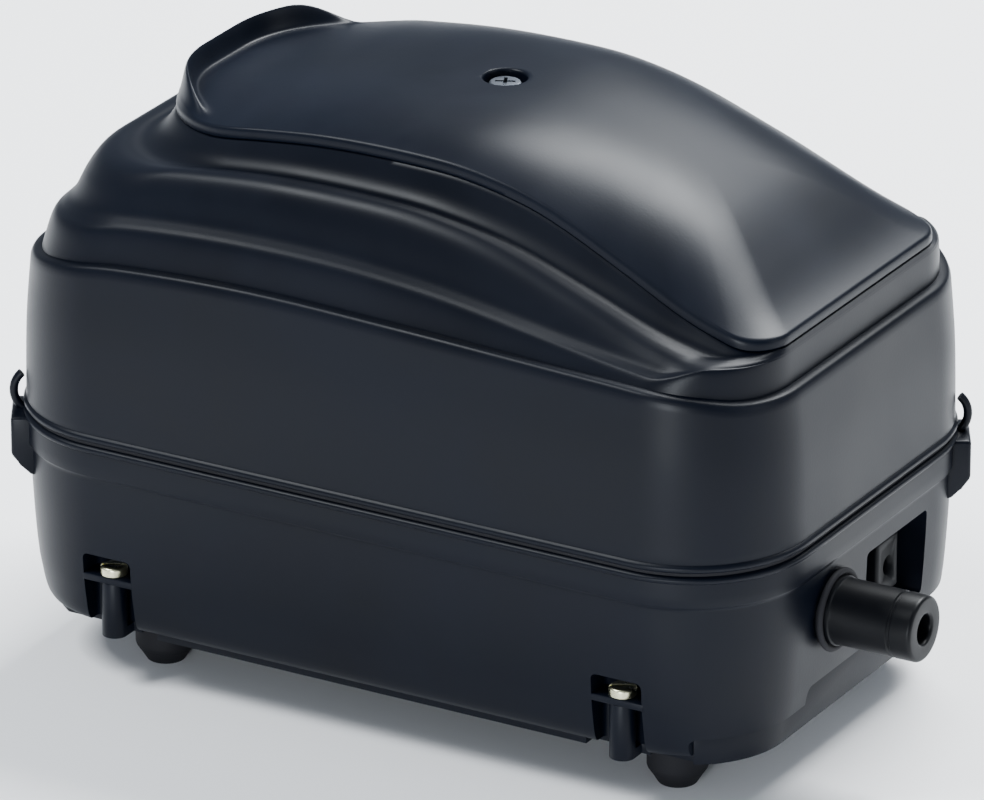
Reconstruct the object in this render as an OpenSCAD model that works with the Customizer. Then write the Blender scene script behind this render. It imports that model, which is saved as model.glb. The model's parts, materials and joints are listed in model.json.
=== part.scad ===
// Pond air pump: moulded case on rubber feet, with a linear-motor diaphragm pump inside.
// X runs along the length with the outlet at +X, Y across, Z up. The origin lies on the
// surface the feet stand on, under the middle of the pump's whole box. Each sub-part is
// drawn about the middle of the case and then placed by centred(). Sizes are millimetres.

/* [Case] */
// Length of the case over its waist
case_l = 233; // [228:1:280]
// Width of the case over its waist
case_w = 144; // [140:1:175]
// Plan radius of the case corners
corner_r = 34; // [30:1:38]
// Wall of the lower housing and the hood
wall = 2.4; // [1.8:0.1:3.0]
// Height of the joint between lower housing and hood
part_z = 71; // [69:1:80]
// Height of the bottom edge of the lower housing
floor_z = 17; // [16:1:18]
// Height of the crease where the hood walls end
crease_z = 122; // [119:1:140]

/* [Roof] */
// Height of the middle of the filter cover
roof_z = 168.4; // [166:0.2:186]
// Width of the fluted flank between crease and filter cover
flank_w = 20.5; // [18:0.5:23]
// Thickness of the filter cover
cover_t = 2.4; // [1.8:0.2:3.0]
// Height of the raised lip round the head of the filter cover
lip_h = 7.5; // [4:0.5:9]

/* [Feet and screws] */
// Diameter of a rubber foot
foot_d = 16.5; // [14:0.5:18]
// Distance between the feet along the length
foot_pitch_x = 158; // [150:1:162]
// Distance between the feet across the width
foot_pitch_y = 90; // [84:1:96]
// Distance between the side screw pockets along the length
pocket_pitch = 156; // [150:1:158]
// Width of a side screw pocket
pocket_w = 15; // [13:0.5:17]
// Head diameter of a pocket screw
screw_head_d = 7.4; // [6.5:0.1:8]

/* [Outlet] */
// Outside diameter of the outlet nozzle
nozzle_d = 18; // [15:0.5:20]
// Bore of the outlet nozzle
nozzle_bore = 8; // [6:0.5:10]
// Length of nozzle outside the end wall
nozzle_l = 26; // [20:1:34]
// Height of the nozzle axis
nozzle_z = 47; // [45:0.5:49]

/* [Drive] */
// Height of the armature shaft
shaft_z = 70; // [69:0.5:74]
// Diameter of the armature shaft
shaft_d = 6; // [5:0.5:8]
// Air gap between a magnet and a core
air_gap = 2; // [1.5:0.1:3]
// Free diameter of a diaphragm
diaphragm_d = 50; // [46:1:54]
// Clearance of parts that slide or lift past each other
fit = 0.3; // [0.2:0.05:0.5]

/* [Hidden] */
$fn = 48;

half_l = case_l / 2;
half_w = case_w / 2;
n_end = 3;      // steps along half an end wall
n_arc = 8;      // steps round a corner
n_side = 14;    // steps along a side wall
ledge = 5;      // inset of the upper body from the waist outline
bead = 0.7;     // stand-out of the two waist beads

function lerp(a, b, t) = a + (b - a) * t;
function clamp01(t) = max(0, min(1, t));
function ease(t) = let (c = clamp01(t)) c * c * (3 - 2 * c);
// Smooth curve through hand-set points [position, value]
function slope_at(p, i) = let (a = max(i - 1, 0), b = min(i + 1, len(p) - 1))
    (p[b][1] - p[a][1]) / (p[b][0] - p[a][0]);
function find_span(p, x, i = 0) = i >= len(p) - 2 || x < p[i + 1][0] ? i : find_span(p, x, i + 1);
function curve(p, x) = let (
    i = find_span(p, x), h = p[i + 1][0] - p[i][0], t = clamp01((x - p[i][0]) / h),
    m0 = slope_at(p, i) * h, m1 = slope_at(p, i + 1) * h)
    (2 * t ^ 3 - 3 * t ^ 2 + 1) * p[i][1] + (t ^ 3 - 2 * t ^ 2 + t) * m0
    + (3 * t ^ 2 - 2 * t ^ 3) * p[i + 1][1] + (t ^ 3 - t ^ 2) * m1;

// Half outline of the case at one inset, from the middle of the +X end to the middle of the -X end
function half_case(inset) = let (
    a = half_l - inset, b = half_w - inset, r = corner_r - inset,
    cx = a - r, cy = b - r)
    concat(
        [for (k = [0:n_end - 1]) [a, cy * k / n_end]],
        [for (k = [0:n_arc]) [cx + r * cos(90 * k / n_arc), cy + r * sin(90 * k / n_arc)]],
        [for (k = [1:n_side - 1]) [lerp(cx, -cx, k / n_side), b]],
        [for (k = [0:n_arc]) [-cx - r * sin(90 * k / n_arc), cy + r * cos(90 * k / n_arc)]],
        [for (k = [1:n_end]) [-a, cy * (1 - k / n_end)]]);
// Half outline of the filter cover, point for point against half_case(ledge)
head_r = 38;    // plan radius of the head of the cover
head_gap = 26;  // distance of the head from the upper body outline at the -X end
function half_spine() = let (
    a = half_l - ledge - spine_in, b = half_w - ledge, cy = half_w - corner_r, w = b - flank_w,
    wide = w + 3.5, cx = a - cover_r, hx = ledge + head_gap - half_l + head_r)
    concat(
        [for (k = [0:n_end - 1]) [a, cy * k / n_end]],
        [for (k = [0:n_arc]) let (t = 90 * k / n_arc) [cx + cover_r * cos(t), cy + (wide - cy) * sin(t)]],
        [for (k = [1:n_side - 1]) let (x = lerp(cx, hx, k / n_side)) [x, w + (wide - w) * ease((x - 35) / (cx - 35))]],
        [for (k = [0:n_arc]) [hx - head_r * sin(90 * k / n_arc), w - head_r + head_r * cos(90 * k / n_arc)]],
        [for (k = [1:n_end]) [hx - head_r, (w - head_r) * (1 - k / n_end)]]);
cover_r = 12;   // length of the cover's rounded corners at the outlet end
spine_in = 0.3; // inset of the cover's end edge from the upper body

// Height of the cover along its middle, as a drop below roof_z
mid_drop = [[-86, 7.5], [-76, 7], [-62, 7.5], [-45, 5], [-20, 1.2], [5, 0], [22, 0.4], [40, 3.4],
    [60, 8.6], [80, 16], [95, 24], [105, 30], [114, 35.4]];
// Height of the cover's edge along the case, as a drop below roof_z
edge_drop = [[-86, 13.5], [-62, 11.5], [-45, 9], [-22, 6.8], [5, 6.6], [22, 8], [42, 12.8],
    [67, 23.2], [86, 31.8], [97, 35.6], [104, 37.4], [112, 37.6]];
// Height of the crease along the case, as a drop below crease_z: arched over the sides, low at the ends
crease_drop = [[-116, 7], [-106, 5.6], [-92, 2.6], [-74, 0], [-34, -1.8], [12, -0.8], [55, 0.8],
    [84, 2], [98, 3.4], [108, 5.4], [116, 6]];
// Rise of the fluted flank, as shares of its width and height
flute = [[0, 0], [0.08, 0.25], [0.16, 0.33], [0.24, 0.41], [0.33, 0.58], [0.43, 0.71], [0.54, 0.77],
    [0.66, 0.785], [0.78, 0.785], [0.9, 0.86], [1, 1]];
function mid_z(x) = roof_z - curve(mid_drop, x);
function edge_z(p) = roof_z - curve(edge_drop, p[0]);
function crease_at(p) = crease_z - curve(crease_drop, p[0]);
// Cover surface over outline point p at ring share s (1 at the edge, 0 at the middle line)
function cover_xy(p, s) = [lerp(0.55 * p[0], p[0], s), p[1] * s];
function cover_lip(q, s) = lip_h * ease((-62 - q[0]) / 16) * exp(-((s - 0.935) / 0.035) ^ 2);
function cover_z(p, s) = let (q = cover_xy(p, s))
    mid_z(q[0]) - (mid_z(q[0]) - edge_z(p)) * s ^ 4 + cover_lip(q, s);

function full(half) = concat(half, [for (i = [len(half) - 2:-1:1]) [half[i][0], -half[i][1], half[i][2]]]);
function level(half, z) = full([for (p = half) [p[0], p[1], z]]);
function crease_ring(inset, dz) = full([for (p = half_case(inset)) [p[0], p[1], crease_at(p) + dz]]);

// Closed solid through a stack of rings with equal point counts. Each cap is a ladder of rungs
// across Y = 0, with a fan over the straight run of points at either end.
module loft(rings) {
    n = len(rings[0]);
    m = len(rings);
    points = [for (r = rings) for (p = r) p];
    sides = [for (j = [0:m - 2]) for (i = [0:n - 1]) let (k = (i + 1) % n)
        each [[j * n + i, (j + 1) * n + i, (j + 1) * n + k], [j * n + i, (j + 1) * n + k, j * n + k]]];
    polyhedron(points, concat(sides, cap(0, n), [for (f = cap((m - 1) * n, n)) [f[2], f[1], f[0]]]));
}
function cap(o, n) = let (h = n / 2, e = n_end, first = o + e + 1, last = o + h - e - 1) concat(
    [for (k = [-e:e - 1]) [o + (k + n) % n, o + (k + 1 + n) % n, first]],
    [[o + n - e, first, o + n - e - 1]],
    [for (i = [e + 1:h - e - 2]) each [[o + i, o + i + 1, o + n - i - 1], [o + i, o + n - i - 1, o + n - i]]],
    [for (k = [h - e:h + e - 1]) [last, o + k, o + k + 1]],
    [[last, o + h + e, o + h + e + 1]]);

// ---- case shells ----
module lower_outer() {
    profile = [[6.2, floor_z], [5, floor_z + 1.2], [4, floor_z + 4.5], [2.6, floor_z + 13], [1.4, part_z - 24],
        [0.9, part_z - 10.6], [0, part_z - 9.6], [0, part_z - 3], [-bead, part_z - 2.3],
        [-bead, part_z - 1.2], [0, part_z - seal_t]];
    loft([for (q = profile) level(half_case(q[0]), q[1])]);
}
module lower_inner() {
    profile = [[6.2 + wall, floor_z - 1], [6.2 + wall, floor_z + 1.2], [4 + wall, floor_z + 7],
        [2.6 + wall, floor_z + 14], [1.4 + wall, part_z - 24], [0.9 + wall, part_z + 1]];
    loft([for (q = profile) level(half_case(q[0]), q[1])]);
}
seal_t = 0.4;       // half the height of the waist seal
flank_t = [0, 0.06, 0.12, 0.2, 0.28, 0.37, 0.46, 0.54, 0.62, 0.7, 0.78, 0.85, 0.92, 1];
corner_flute = [[0, 0], [0.1, 0.7], [0.25, 0.84], [0.6, 0.92], [1, 1]];
deck_gap = 3.4;     // drop from the cover's surface to the roof deck under it
deck_s = [0.96, 0.9, 0.8, 0.66, 0.5, 0.3];
function flank_ring(t, drop) = let (o = half_case(ledge), s = half_spine())
    full([for (i = [0:len(o) - 1]) let (
        p = o[i], q = s[i],
        share = lerp(curve(flute, t), curve(corner_flute, t), ease((p[0] - half_l + corner_r) / 16)))
        [lerp(p[0], q[0], t), lerp(p[1], q[1], t),
            lerp(crease_at(p) + 0.2, edge_z(q) - deck_gap, share) - drop]]);
function deck_ring(s, drop) = full([for (p = half_spine()) let (q = cover_xy(p, s))
    [q[0], q[1], mid_z(q[0]) - (mid_z(q[0]) - edge_z(p)) * s ^ 4 - deck_gap - drop]]);
module hood_outer() {
    profile = [[0, part_z + seal_t], [-bead, part_z + 1], [-bead, part_z + 2.2], [0, part_z + 2.9],
        [0.5, part_z + 29]];
    shoulder = [[1.7, -3], [2.2, -0.6], [2.8, 0]];
    loft(concat([for (q = profile) level(half_case(q[0]), q[1])], [for (q = shoulder) crease_ring(q[0], q[1])],
        [for (t = flank_t) flank_ring(t, 0)], [for (s = deck_s) deck_ring(s, 0)]));
}
module hood_inner() {
    profile = [[wall + 0.1, part_z - 1], [wall + 0.5, part_z + 29]];
    loft(concat([for (q = profile) level(half_case(q[0]), q[1])], [crease_ring(wall + ledge - 2, -wall)],
        [for (t = [0.3, 0.6, 0.86]) inset_ring(flank_ring(t, wall + 1))],
        [for (s = [0.96, 0.8, 0.5]) inset_ring(deck_ring(s, wall))]));
}
function inset_ring(ring) = let (k = 1 - wall / half_w)
    [for (p = ring) [p[0] * (1 - wall / half_l), p[1] * k, p[2]]];

// ---- exact helpers ----
lug_w = 16;         // width of a corner lug
lug_reach = 4;      // stand-out of a corner lug from the case corner
eye_turn = 30;      // plan angle of the back corner eye, the front one is opposite
tip_x = half_l + nozzle_l;
lug_x = half_l - corner_r + (corner_r + lug_reach) * cos(eye_turn) + lug_w / 2 * sin(eye_turn);
// Moves a sub-part from the middle of the case to the middle of the whole box
module centred() { translate([(lug_x - tip_x) / 2, 0, 0]) children(); }
module box(x0, x1, y0, y1, z0, z1) { translate([x0, y0, z0]) cube([x1 - x0, y1 - y0, z1 - z0]); }
module rod_z(x, y, z0, z1, r) { translate([x, y, z0]) cylinder(r = r, h = z1 - z0); }
module rod_x(x0, x1, y, z, r) { translate([x0, y, z]) rotate([0, 90, 0]) cylinder(r = r, h = x1 - x0); }
module both_x() { children(); mirror([1, 0, 0]) children(); }
module both_y() { children(); mirror([0, 1, 0]) children(); }
module round_rect(w, h, r) {
    square([w - 2 * r, h], center = true);
    square([w, h - 2 * r], center = true);
    for (x = [-1, 1], y = [-1, 1]) translate([x * (w / 2 - r), y * (h / 2 - r)]) circle(r);
}
// Plate across the X axis with rounded corners, centred on the shaft height
module plate_x(x0, x1, w, h, r) {
    translate([x0, 0, shaft_z]) rotate([90, 0, 90]) linear_extrude(x1 - x0) round_rect(w, h, r);
}

// ---- case parts ----
pocket_x = pocket_pitch / 2;
pocket_top = floor_z + 21;      // ceiling of a side pocket
pocket_y = half_w - 10;         // back wall of a side pocket
lip_z = floor_z + 13;           // underside of the lip that a pocket screw clamps
lip_t = 2;
post_r = 3.5;
post_y = pocket_y + 4;          // axis of a pocket screw
hood_boss_x = half_l - corner_r + 17;
hood_boss_y = half_w - corner_r + 19.4;
boss_r = 6;
boss_z = part_z - 29;           // underside of a hood screw boss
nozzle_y = -20;
recess_y = [-1.3, 32.6];        // cable recess beside the outlet, across the width
recess_z = [31, 55.5];
recess_x = half_l - 12;         // back wall of the cable recess
eye_r = 6.6;
eye_wire = 1.2;
eye_arc = 108;      // turn of the eye about its own axis, from inside the lug upwards
raised_l = 20;                  // length of the raised bottom edge at the outlet end
module corner_eye() {
    reach = corner_r + lug_reach;
    rotate([0, 0, eye_turn]) {
        // chunky lug with a bevelled underside
        translate([0, lug_w / 2, 0]) rotate([90, 0, 0]) linear_extrude(lug_w)
            polygon([[corner_r - 4, part_z - 18.5], [corner_r - 1, part_z - 18.5], [reach, part_z - 13],
                [reach, part_z - 1.4], [corner_r - 4, part_z - 1.4]]);
        // part ring that stands on the lug and curves back towards the hood
        translate([corner_r - 3.3, 0, part_z + 3.3]) rotate([90, 0, 0]) rotate([0, 0, -60])
            rotate_extrude(angle = eye_arc) translate([eye_r, 0]) circle(eye_wire);
    }
}
module corner_eyes() {
    for (a = [0, 180]) rotate([0, 0, a]) translate([half_l - corner_r, half_w - corner_r, 0]) corner_eye();
}
module lower_housing() centred() color([0.11, 0.13, 0.18]) {
    difference() {
        union() {
            difference() {
                lower_outer();
                lower_inner();
            }
            corner_eyes();
            intersection() {
                lower_outer();
                union() {
                    both_x() both_y() box(pocket_x - pocket_w / 2 - 2, pocket_x + pocket_w / 2 + 2,
                        pocket_y - 2, half_w + 2, floor_z, pocket_top + 2);
                    both_x() both_y() rod_z(hood_boss_x, hood_boss_y, boss_z, part_z - seal_t, boss_r);
                    box(recess_x - 2, half_l + 2, recess_y[0] - 2, recess_y[1] + 2, recess_z[0] - 2, recess_z[1] + 2);
                }
            }
        }
        both_x() both_y() difference() {
            box(pocket_x - pocket_w / 2, pocket_x + pocket_w / 2, pocket_y, half_w + 9, floor_z - 2, pocket_top);
            box(pocket_x - pocket_w, pocket_x + pocket_w, 0, post_y + post_r, lip_z, lip_z + lip_t);
        }
        both_x() both_y() rod_z(pocket_x, post_y, lip_z - 1, lip_z + lip_t + 1, 2.2);
        both_x() both_y() rod_z(hood_boss_x, hood_boss_y, boss_z - 1, part_z, 2.2);
        box(recess_x, half_l + 9, recess_y[0], recess_y[1], recess_z[0], recess_z[1]);
        rod_x(recess_x - 9, recess_x + 1, gland_y, gland_z, 4.6);
        rod_x(half_l - 14, half_l + 9, nozzle_y, nozzle_z, nozzle_d / 2 + 0.5 + fit);
        // raised bottom edge of the outlet end
        box(half_l - raised_l, half_l + 9, -half_w, half_w, 0, floor_z + 5.5);
        box(half_l - raised_l, half_l + 9, -30, half_w, 0, floor_z + 10.5);
    }
}
plate_z = floor_z - 2.7;    // underside of the base plate
deck_z = floor_z + 1.5;     // top of the base plate
upstand_z = recess_z[0] - 2.4;
foot_shift = 4;     // feet sit this far towards the outlet
module plate_outline(inset) {
    r = corner_r - inset;
    a = half_l - inset;
    b = half_w - inset;
    square([2 * (a - r), 2 * b], center = true);
    square([2 * a, 2 * (b - r)], center = true);
    for (x = [-1, 1], y = [-1, 1]) translate([x * (a - r), y * (b - r)]) circle(r);
}
module at_feet() {
    for (x = [-1, 1], y = [-1, 1]) translate([foot_shift + x * foot_pitch_x / 2, y * foot_pitch_y / 2, 0]) children();
}
module base_plate() centred() color([0.10, 0.11, 0.15]) {
    difference() {
        union() {
            difference() {
                translate([0, 0, plate_z]) linear_extrude(floor_z - plate_z) plate_outline(8);
                both_x() both_y() box(pocket_x - 12, half_l, pocket_y - 2, half_w, 0, 30);
            }
            both_x() both_y() box(pocket_x - 6, pocket_x + 6, pocket_y - 4, pocket_y, plate_z, floor_z);
            both_x() both_y() box(pocket_x - post_r, pocket_x + post_r, pocket_y - 1, post_y, plate_z, floor_z);
            difference() {
                translate([0, 0, floor_z]) linear_extrude(deck_z - floor_z) plate_outline(6.2 + wall + fit);
                both_x() both_y() box(pocket_x - 10.5, half_l, pocket_y - 3, half_w, 0, 30);
            }
            // upstand that closes the raised bottom edge of the outlet end
            intersection() {
                difference() {
                    translate([0, 0, plate_z]) linear_extrude(upstand_z - plate_z) plate_outline(6.3);
                    translate([0, 0, deck_z]) linear_extrude(upstand_z) plate_outline(6.3 + wall);
                }
                union() {
                    box(half_l - raised_l + fit, half_l, -half_w, half_w, 0, floor_z + 5.5 - fit);
                    box(half_l - raised_l + fit, half_l, fit - 30, half_w, 0, upstand_z + 1);
                }
            }
            both_x() both_y() rod_z(pocket_x, post_y, plate_z, lip_z, post_r);
        }
        both_x() both_y() rod_z(pocket_x, post_y, plate_z + 3, lip_z + 1, 2.05);
        at_feet() rod_z(0, 0, 0, 40, 2.2);
    }
}
module rubber_feet() centred() color([0.07, 0.07, 0.08]) {
    at_feet() rotate_extrude() difference() {
        polygon([[0, 1], [2.6, 1], [3, 0], [foot_d / 2 - 3, 0], [foot_d / 2 - 1.2, 3.2], [foot_d / 2, 4],
            [foot_d / 2, plate_z - 1.2], [foot_d / 2 - 0.8, plate_z], [0, plate_z]]);
        translate([0, plate_z - 9]) square([2.1, 10]);
    }
}
module foot_studs() centred() color([0.62, 0.62, 0.6]) {
    at_feet() {
        rod_z(0, 0, plate_z - 8, deck_z + 0.5, 2);
        rod_z(0, 0, deck_z, deck_z + 2.4, 4);
    }
}
module pocket_screws() centred() color([0.72, 0.66, 0.45]) {
    both_x() both_y() {
        rod_z(pocket_x, post_y, lip_z + lip_t, lip_z + lip_t + 2.6, screw_head_d / 2);
        rod_z(pocket_x, post_y, plate_z + 5, lip_z + lip_t + 0.1, 1.95);
    }
}
module hood_screws() centred() color([0.62, 0.62, 0.6]) {
    both_x() both_y() {
        rod_z(hood_boss_x, hood_boss_y, boss_z - 2.6, boss_z, 3.5);
        rod_z(hood_boss_x, hood_boss_y, boss_z - 0.1, part_z + 17, 1.95);
    }
}
filter_x = 52;      // half length of the filter pocket
filter_y = 30;      // half width of the filter pocket
filter_z = crease_z + 12;   // floor of the filter pocket
screw_x = 4.8;      // place of the cover screw along the case
cover_gap = 0.25;   // gap under the edge of the cover
module hood() centred() color([0.12, 0.14, 0.20]) {
    difference() {
        hood_outer();
        difference() {
            hood_inner();
            box(-filter_x - wall, filter_x + wall, -filter_y - wall, filter_y + wall, filter_z - wall, roof_z);
            both_x() both_y() rod_z(hood_boss_x, hood_boss_y, part_z + seal_t, part_z + 24, boss_r);
        }
        box(-filter_x, filter_x, -filter_y, filter_y, filter_z, roof_z + 1);
        box(-filter_x + 6, filter_x - 6, -filter_y + 6, filter_y - 6, filter_z - 9, filter_z + 1);
        both_x() both_y() rod_z(hood_boss_x, hood_boss_y, part_z - 1, part_z + 20, 2.05);
    }
}
module waist_seal() centred() color([0.05, 0.05, 0.05]) {
    difference() {
        translate([0, 0, part_z - seal_t]) linear_extrude(2 * seal_t) plate_outline(0.5);
        translate([0, 0, part_z - 1]) linear_extrude(2) plate_outline(wall);
        both_x() both_y() rod_z(hood_boss_x, hood_boss_y, part_z - 1, part_z + 1, 3);
    }
}
module filter_tray() centred() color([0.16, 0.17, 0.2]) {
    difference() {
        box(-filter_x + fit, filter_x - fit, -filter_y + fit, filter_y - fit, filter_z, filter_z + 14);
        box(-filter_x + fit + 1.6, filter_x - fit - 1.6, -filter_y + fit + 1.6, filter_y - fit - 1.6,
            filter_z + 2, filter_z + 20);
        for (x = [-40:8:40]) if (abs(x - screw_x) > 7) for (y = [-1, 1])
            translate([x - 2, y > 0 ? 3 : -20, filter_z - 1]) cube([4, 17, 4]);
    }
    difference() {
        rod_z(screw_x, 0, filter_z + 1, roof_z - 11, 4.6);
        rod_z(screw_x, 0, filter_z + 4, roof_z, 2.05);
    }
}
module filter_element() centred() color([0.35, 0.36, 0.38]) {
    difference() {
        box(-filter_x + 3, filter_x - 3, -filter_y + 3, filter_y - 3, filter_z + 2.3, roof_z - 13);
        rod_z(screw_x, 0, filter_z, roof_z, 5.2);
    }
}
screw_seat = 4;     // depth of the cover screw's recess
rim_s = 0.965;      // share of the cover's half width where the rim under it ends
cover_s = [0.9995, 0.99, 0.975, 0.96, 0.945, 0.93, 0.915, 0.9, 0.88, 0.84, 0.76, 0.6, 0.4, 0.3];
function cover_top(s) = full([for (p = half_spine()) let (q = cover_xy(p, s)) [q[0], q[1], cover_z(p, s)]]);
module cover_shell() {
    rim = deck_gap - cover_gap;
    loft(concat(
        [for (s = [0.3, 0.6, 0.8, 0.9]) deck_ring(s, cover_t - deck_gap)],
        [deck_ring(rim_s - 0.02, cover_t - deck_gap), deck_ring(rim_s, rim - deck_gap)],
        [deck_ring(0.99, rim - deck_gap), deck_ring(1, rim - 0.5 - deck_gap)],
        [for (s = cover_s) cover_top(s)]));
}
module filter_cover() centred() color([0.13, 0.155, 0.215]) {
    difference() {
        union() {
            cover_shell();
            rod_z(screw_x, 0, roof_z - screw_seat - 3, roof_z - 2, 8);
        }
        rod_z(screw_x, 0, roof_z - screw_seat, roof_z + 2, 5.9);
        rod_z(screw_x, 0, roof_z - 20, roof_z, 2.3);
    }
}
module filter_cover_screw() centred() color([0.2, 0.21, 0.24]) {
    difference() {
        union() {
            rod_z(screw_x, 0, roof_z - screw_seat, roof_z - screw_seat + 2.6, 4.4);
            rod_z(screw_x, 0, roof_z - 24, roof_z - screw_seat + 0.1, 1.95);
        }
        for (a = [0, 90]) translate([screw_x, 0, roof_z - screw_seat + 2]) rotate([0, 0, a + 20])
            cube([5, 1, 1.6], center = true);
    }
}

// ---- outlet and inlet end ----
nozzle_in = half_l - 18.5;  // inner end of the nozzle
spigot_x = half_l - 14.5;   // axis of the nozzle's spigot inside the case
spigot_r = 3.5;
collar_r = nozzle_d / 2 + 0.5;   // thicker root of the nozzle, through the case wall
gland_y = 20;
gland_z = 43;
module outlet_nozzle() centred() color([0.09, 0.10, 0.13]) {
    difference() {
        union() {
            rod_x(nozzle_in, tip_x - 1, nozzle_y, nozzle_z, nozzle_d / 2);
            rod_x(nozzle_in, half_l + 2, nozzle_y, nozzle_z, collar_r);
            translate([tip_x - 1, nozzle_y, nozzle_z]) rotate([0, 90, 0])
                cylinder(r1 = nozzle_d / 2, r2 = nozzle_d / 2 - 1, h = 1);
            rod_z(spigot_x, nozzle_y, nozzle_z - 13, nozzle_z, spigot_r);
        }
        rod_x(nozzle_in + 1.6, tip_x + 1, nozzle_y, nozzle_z, nozzle_bore / 2);
        rod_z(spigot_x, nozzle_y, nozzle_z - 14, nozzle_z, spigot_r - 1.2);
    }
}
module nozzle_seal() centred() color([0.05, 0.05, 0.05]) {
    translate([half_l + 0.4, nozzle_y, nozzle_z]) rotate([0, 90, 0]) rotate_extrude()
        translate([collar_r + 0.95, 0]) circle(0.9);
}
module cable_gland() centred() color([0.06, 0.06, 0.07]) {
    difference() {
        union() {
            box(recess_x, recess_x + 6, gland_y - 6, gland_y + 6, gland_z - 8, gland_z + 8);
            rod_x(recess_x - 5, recess_x + 1, gland_y, gland_z, 4.5);
        }
        rod_x(recess_x - 6, recess_x + 7, gland_y, gland_z, 2.8);
    }
}
module terminal_block() centred() color([0.8, 0.8, 0.76]) {
    y0 = pocket_y - 11;
    difference() {
        box(24, 54, y0, y0 + 10, deck_z, deck_z + 11);
        for (x = [29, 39, 49]) rod_z(x, y0 + 5, deck_z + 6, deck_z + 12, 2);
    }
}

// ---- linear drive ----
frame_x = 56;       // inner face of an end frame
frame_t = 3;
chassis_z = 40;
membrane_t = 2;
clamp_r = diaphragm_d / 2 + 8;
leg = 14;           // width of a core's middle leg
core_h = 24;        // height of a lamination stack
magnet_y = 3.5;     // half thickness of a magnet
core_y = magnet_y + air_gap;
mount_x = 48;
mount_y = 40;
bolt_x = 22;
bolt_y = core_y + 30.5;
module chassis_frame() centred() color([0.7, 0.71, 0.72]) {
    difference() {
        union() {
            box(-frame_x - frame_t, frame_x + frame_t, -46, 46, chassis_z, chassis_z + 2.5);
            both_x() plate_x(frame_x, frame_x + frame_t, 76, 2 * clamp_r + 1, 4);
            both_x() both_y() rod_z(bolt_x, bolt_y, chassis_z + 1, shaft_z - core_h / 2, 5);
        }
        both_x() rod_x(frame_x - 1, frame_x + frame_t + 1, 0, shaft_z, diaphragm_d / 2);
        both_x() both_y() rod_z(bolt_x, bolt_y, chassis_z - 1, shaft_z, 2.2);
        both_x() both_y() rod_z(mount_x, mount_y, chassis_z - 1, chassis_z + 4, 2.2);
        both_x() both_y() rod_x(frame_x - 1, frame_x + frame_t + 1, screw_y, shaft_z + screw_dz, 2);
        both_x() both_y() rod_x(frame_x - 1, frame_x + frame_t + 1, screw_y, shaft_z - screw_dz, 2);
    }
}
module vibration_mounts() centred() color([0.08, 0.08, 0.08]) {
    both_x() both_y() translate([mount_x, mount_y, deck_z]) {
        h = chassis_z - deck_z;
        rotate_extrude() polygon([[0, 0], [7, 0], [7, 3], [5, 7], [5, h - 7], [7, h - 3], [7, h], [0, h]]);
        rod_z(0, 0, h - 0.1, h + 2.5, 2.1);
        rod_z(0, 0, h + 2.5, h + 4.5, 4);
    }
}
module core() {
    difference() {
        translate([0, 0, shaft_z - core_h / 2]) linear_extrude(core_h) difference() {
            translate([-27, core_y]) square([54, 36]);
            both_x() translate([leg / 2, core_y - 1]) square([10, 27]);
        }
        both_x() rod_z(bolt_x, bolt_y, 0, 200, 2.2);
    }
}
module bobbin() {
    y0 = core_y + 2;
    difference() {
        union() {
            box(-leg / 2 - 1.3, leg / 2 + 1.3, y0, y0 + 23, shaft_z - core_h / 2 - 1.3, shaft_z + core_h / 2 + 1.3);
            for (y = [y0, y0 + 22]) box(-16.5, 16.5, y, y + 1, shaft_z - 22, shaft_z + 22);
        }
        box(-leg / 2 - 0.2, leg / 2 + 0.2, 0, 60, shaft_z - core_h / 2 - 0.2, shaft_z + core_h / 2 + 0.2);
    }
}
module coil() {
    y0 = core_y + 3;
    w = 2 * 15.6;
    difference() {
        translate([0, y0 + 21, shaft_z]) rotate([90, 0, 0]) linear_extrude(21) round_rect(w, 41, 4);
        box(-leg / 2 - 1.3, leg / 2 + 1.3, 0, 60, shaft_z - core_h / 2 - 1.3, shaft_z + core_h / 2 + 1.3);
    }
}
module core_back() centred() color([0.45, 0.45, 0.46]) core();
module core_front() centred() color([0.45, 0.45, 0.46]) mirror([0, 1, 0]) core();
module bobbin_back() centred() color([0.85, 0.83, 0.75]) bobbin();
module bobbin_front() centred() color([0.85, 0.83, 0.75]) mirror([0, 1, 0]) bobbin();
module coil_back() centred() color([0.55, 0.25, 0.12]) coil();
module coil_front() centred() color([0.55, 0.25, 0.12]) mirror([0, 1, 0]) coil();
module core_bolts() centred() color([0.62, 0.62, 0.6]) {
    both_x() both_y() {
        rod_z(bolt_x, bolt_y, chassis_z + 1, shaft_z + core_h / 2 + 0.1, 2);
        rod_z(bolt_x, bolt_y, shaft_z + core_h / 2, shaft_z + core_h / 2 + 3, 4);
    }
}
shaft_end = frame_x + 13;
module armature_shaft() centred() color([0.75, 0.75, 0.76]) {
    both_x() rod_x(20, shaft_end, 0, shaft_z, shaft_d / 2);
}
module armature_carrier() centred() color([0.25, 0.25, 0.27]) {
    difference() {
        union() {
            box(-19, 19, -magnet_y, magnet_y, shaft_z - 14, shaft_z + 14);
            both_x() box(18, 30, -4.5, 4.5, shaft_z - 6, shaft_z + 6);
        }
        both_x() box(3, 15, -6, 6, shaft_z - 10, shaft_z + 10);
        both_x() rod_x(20, 31, 0, shaft_z, shaft_d / 2);
    }
}
module magnets() centred() color([0.35, 0.35, 0.37]) {
    both_x() box(3, 15, -magnet_y, magnet_y, shaft_z - 10, shaft_z + 10);
}
web_r = 17;         // radius of the diaphragm's clamping plates
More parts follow.
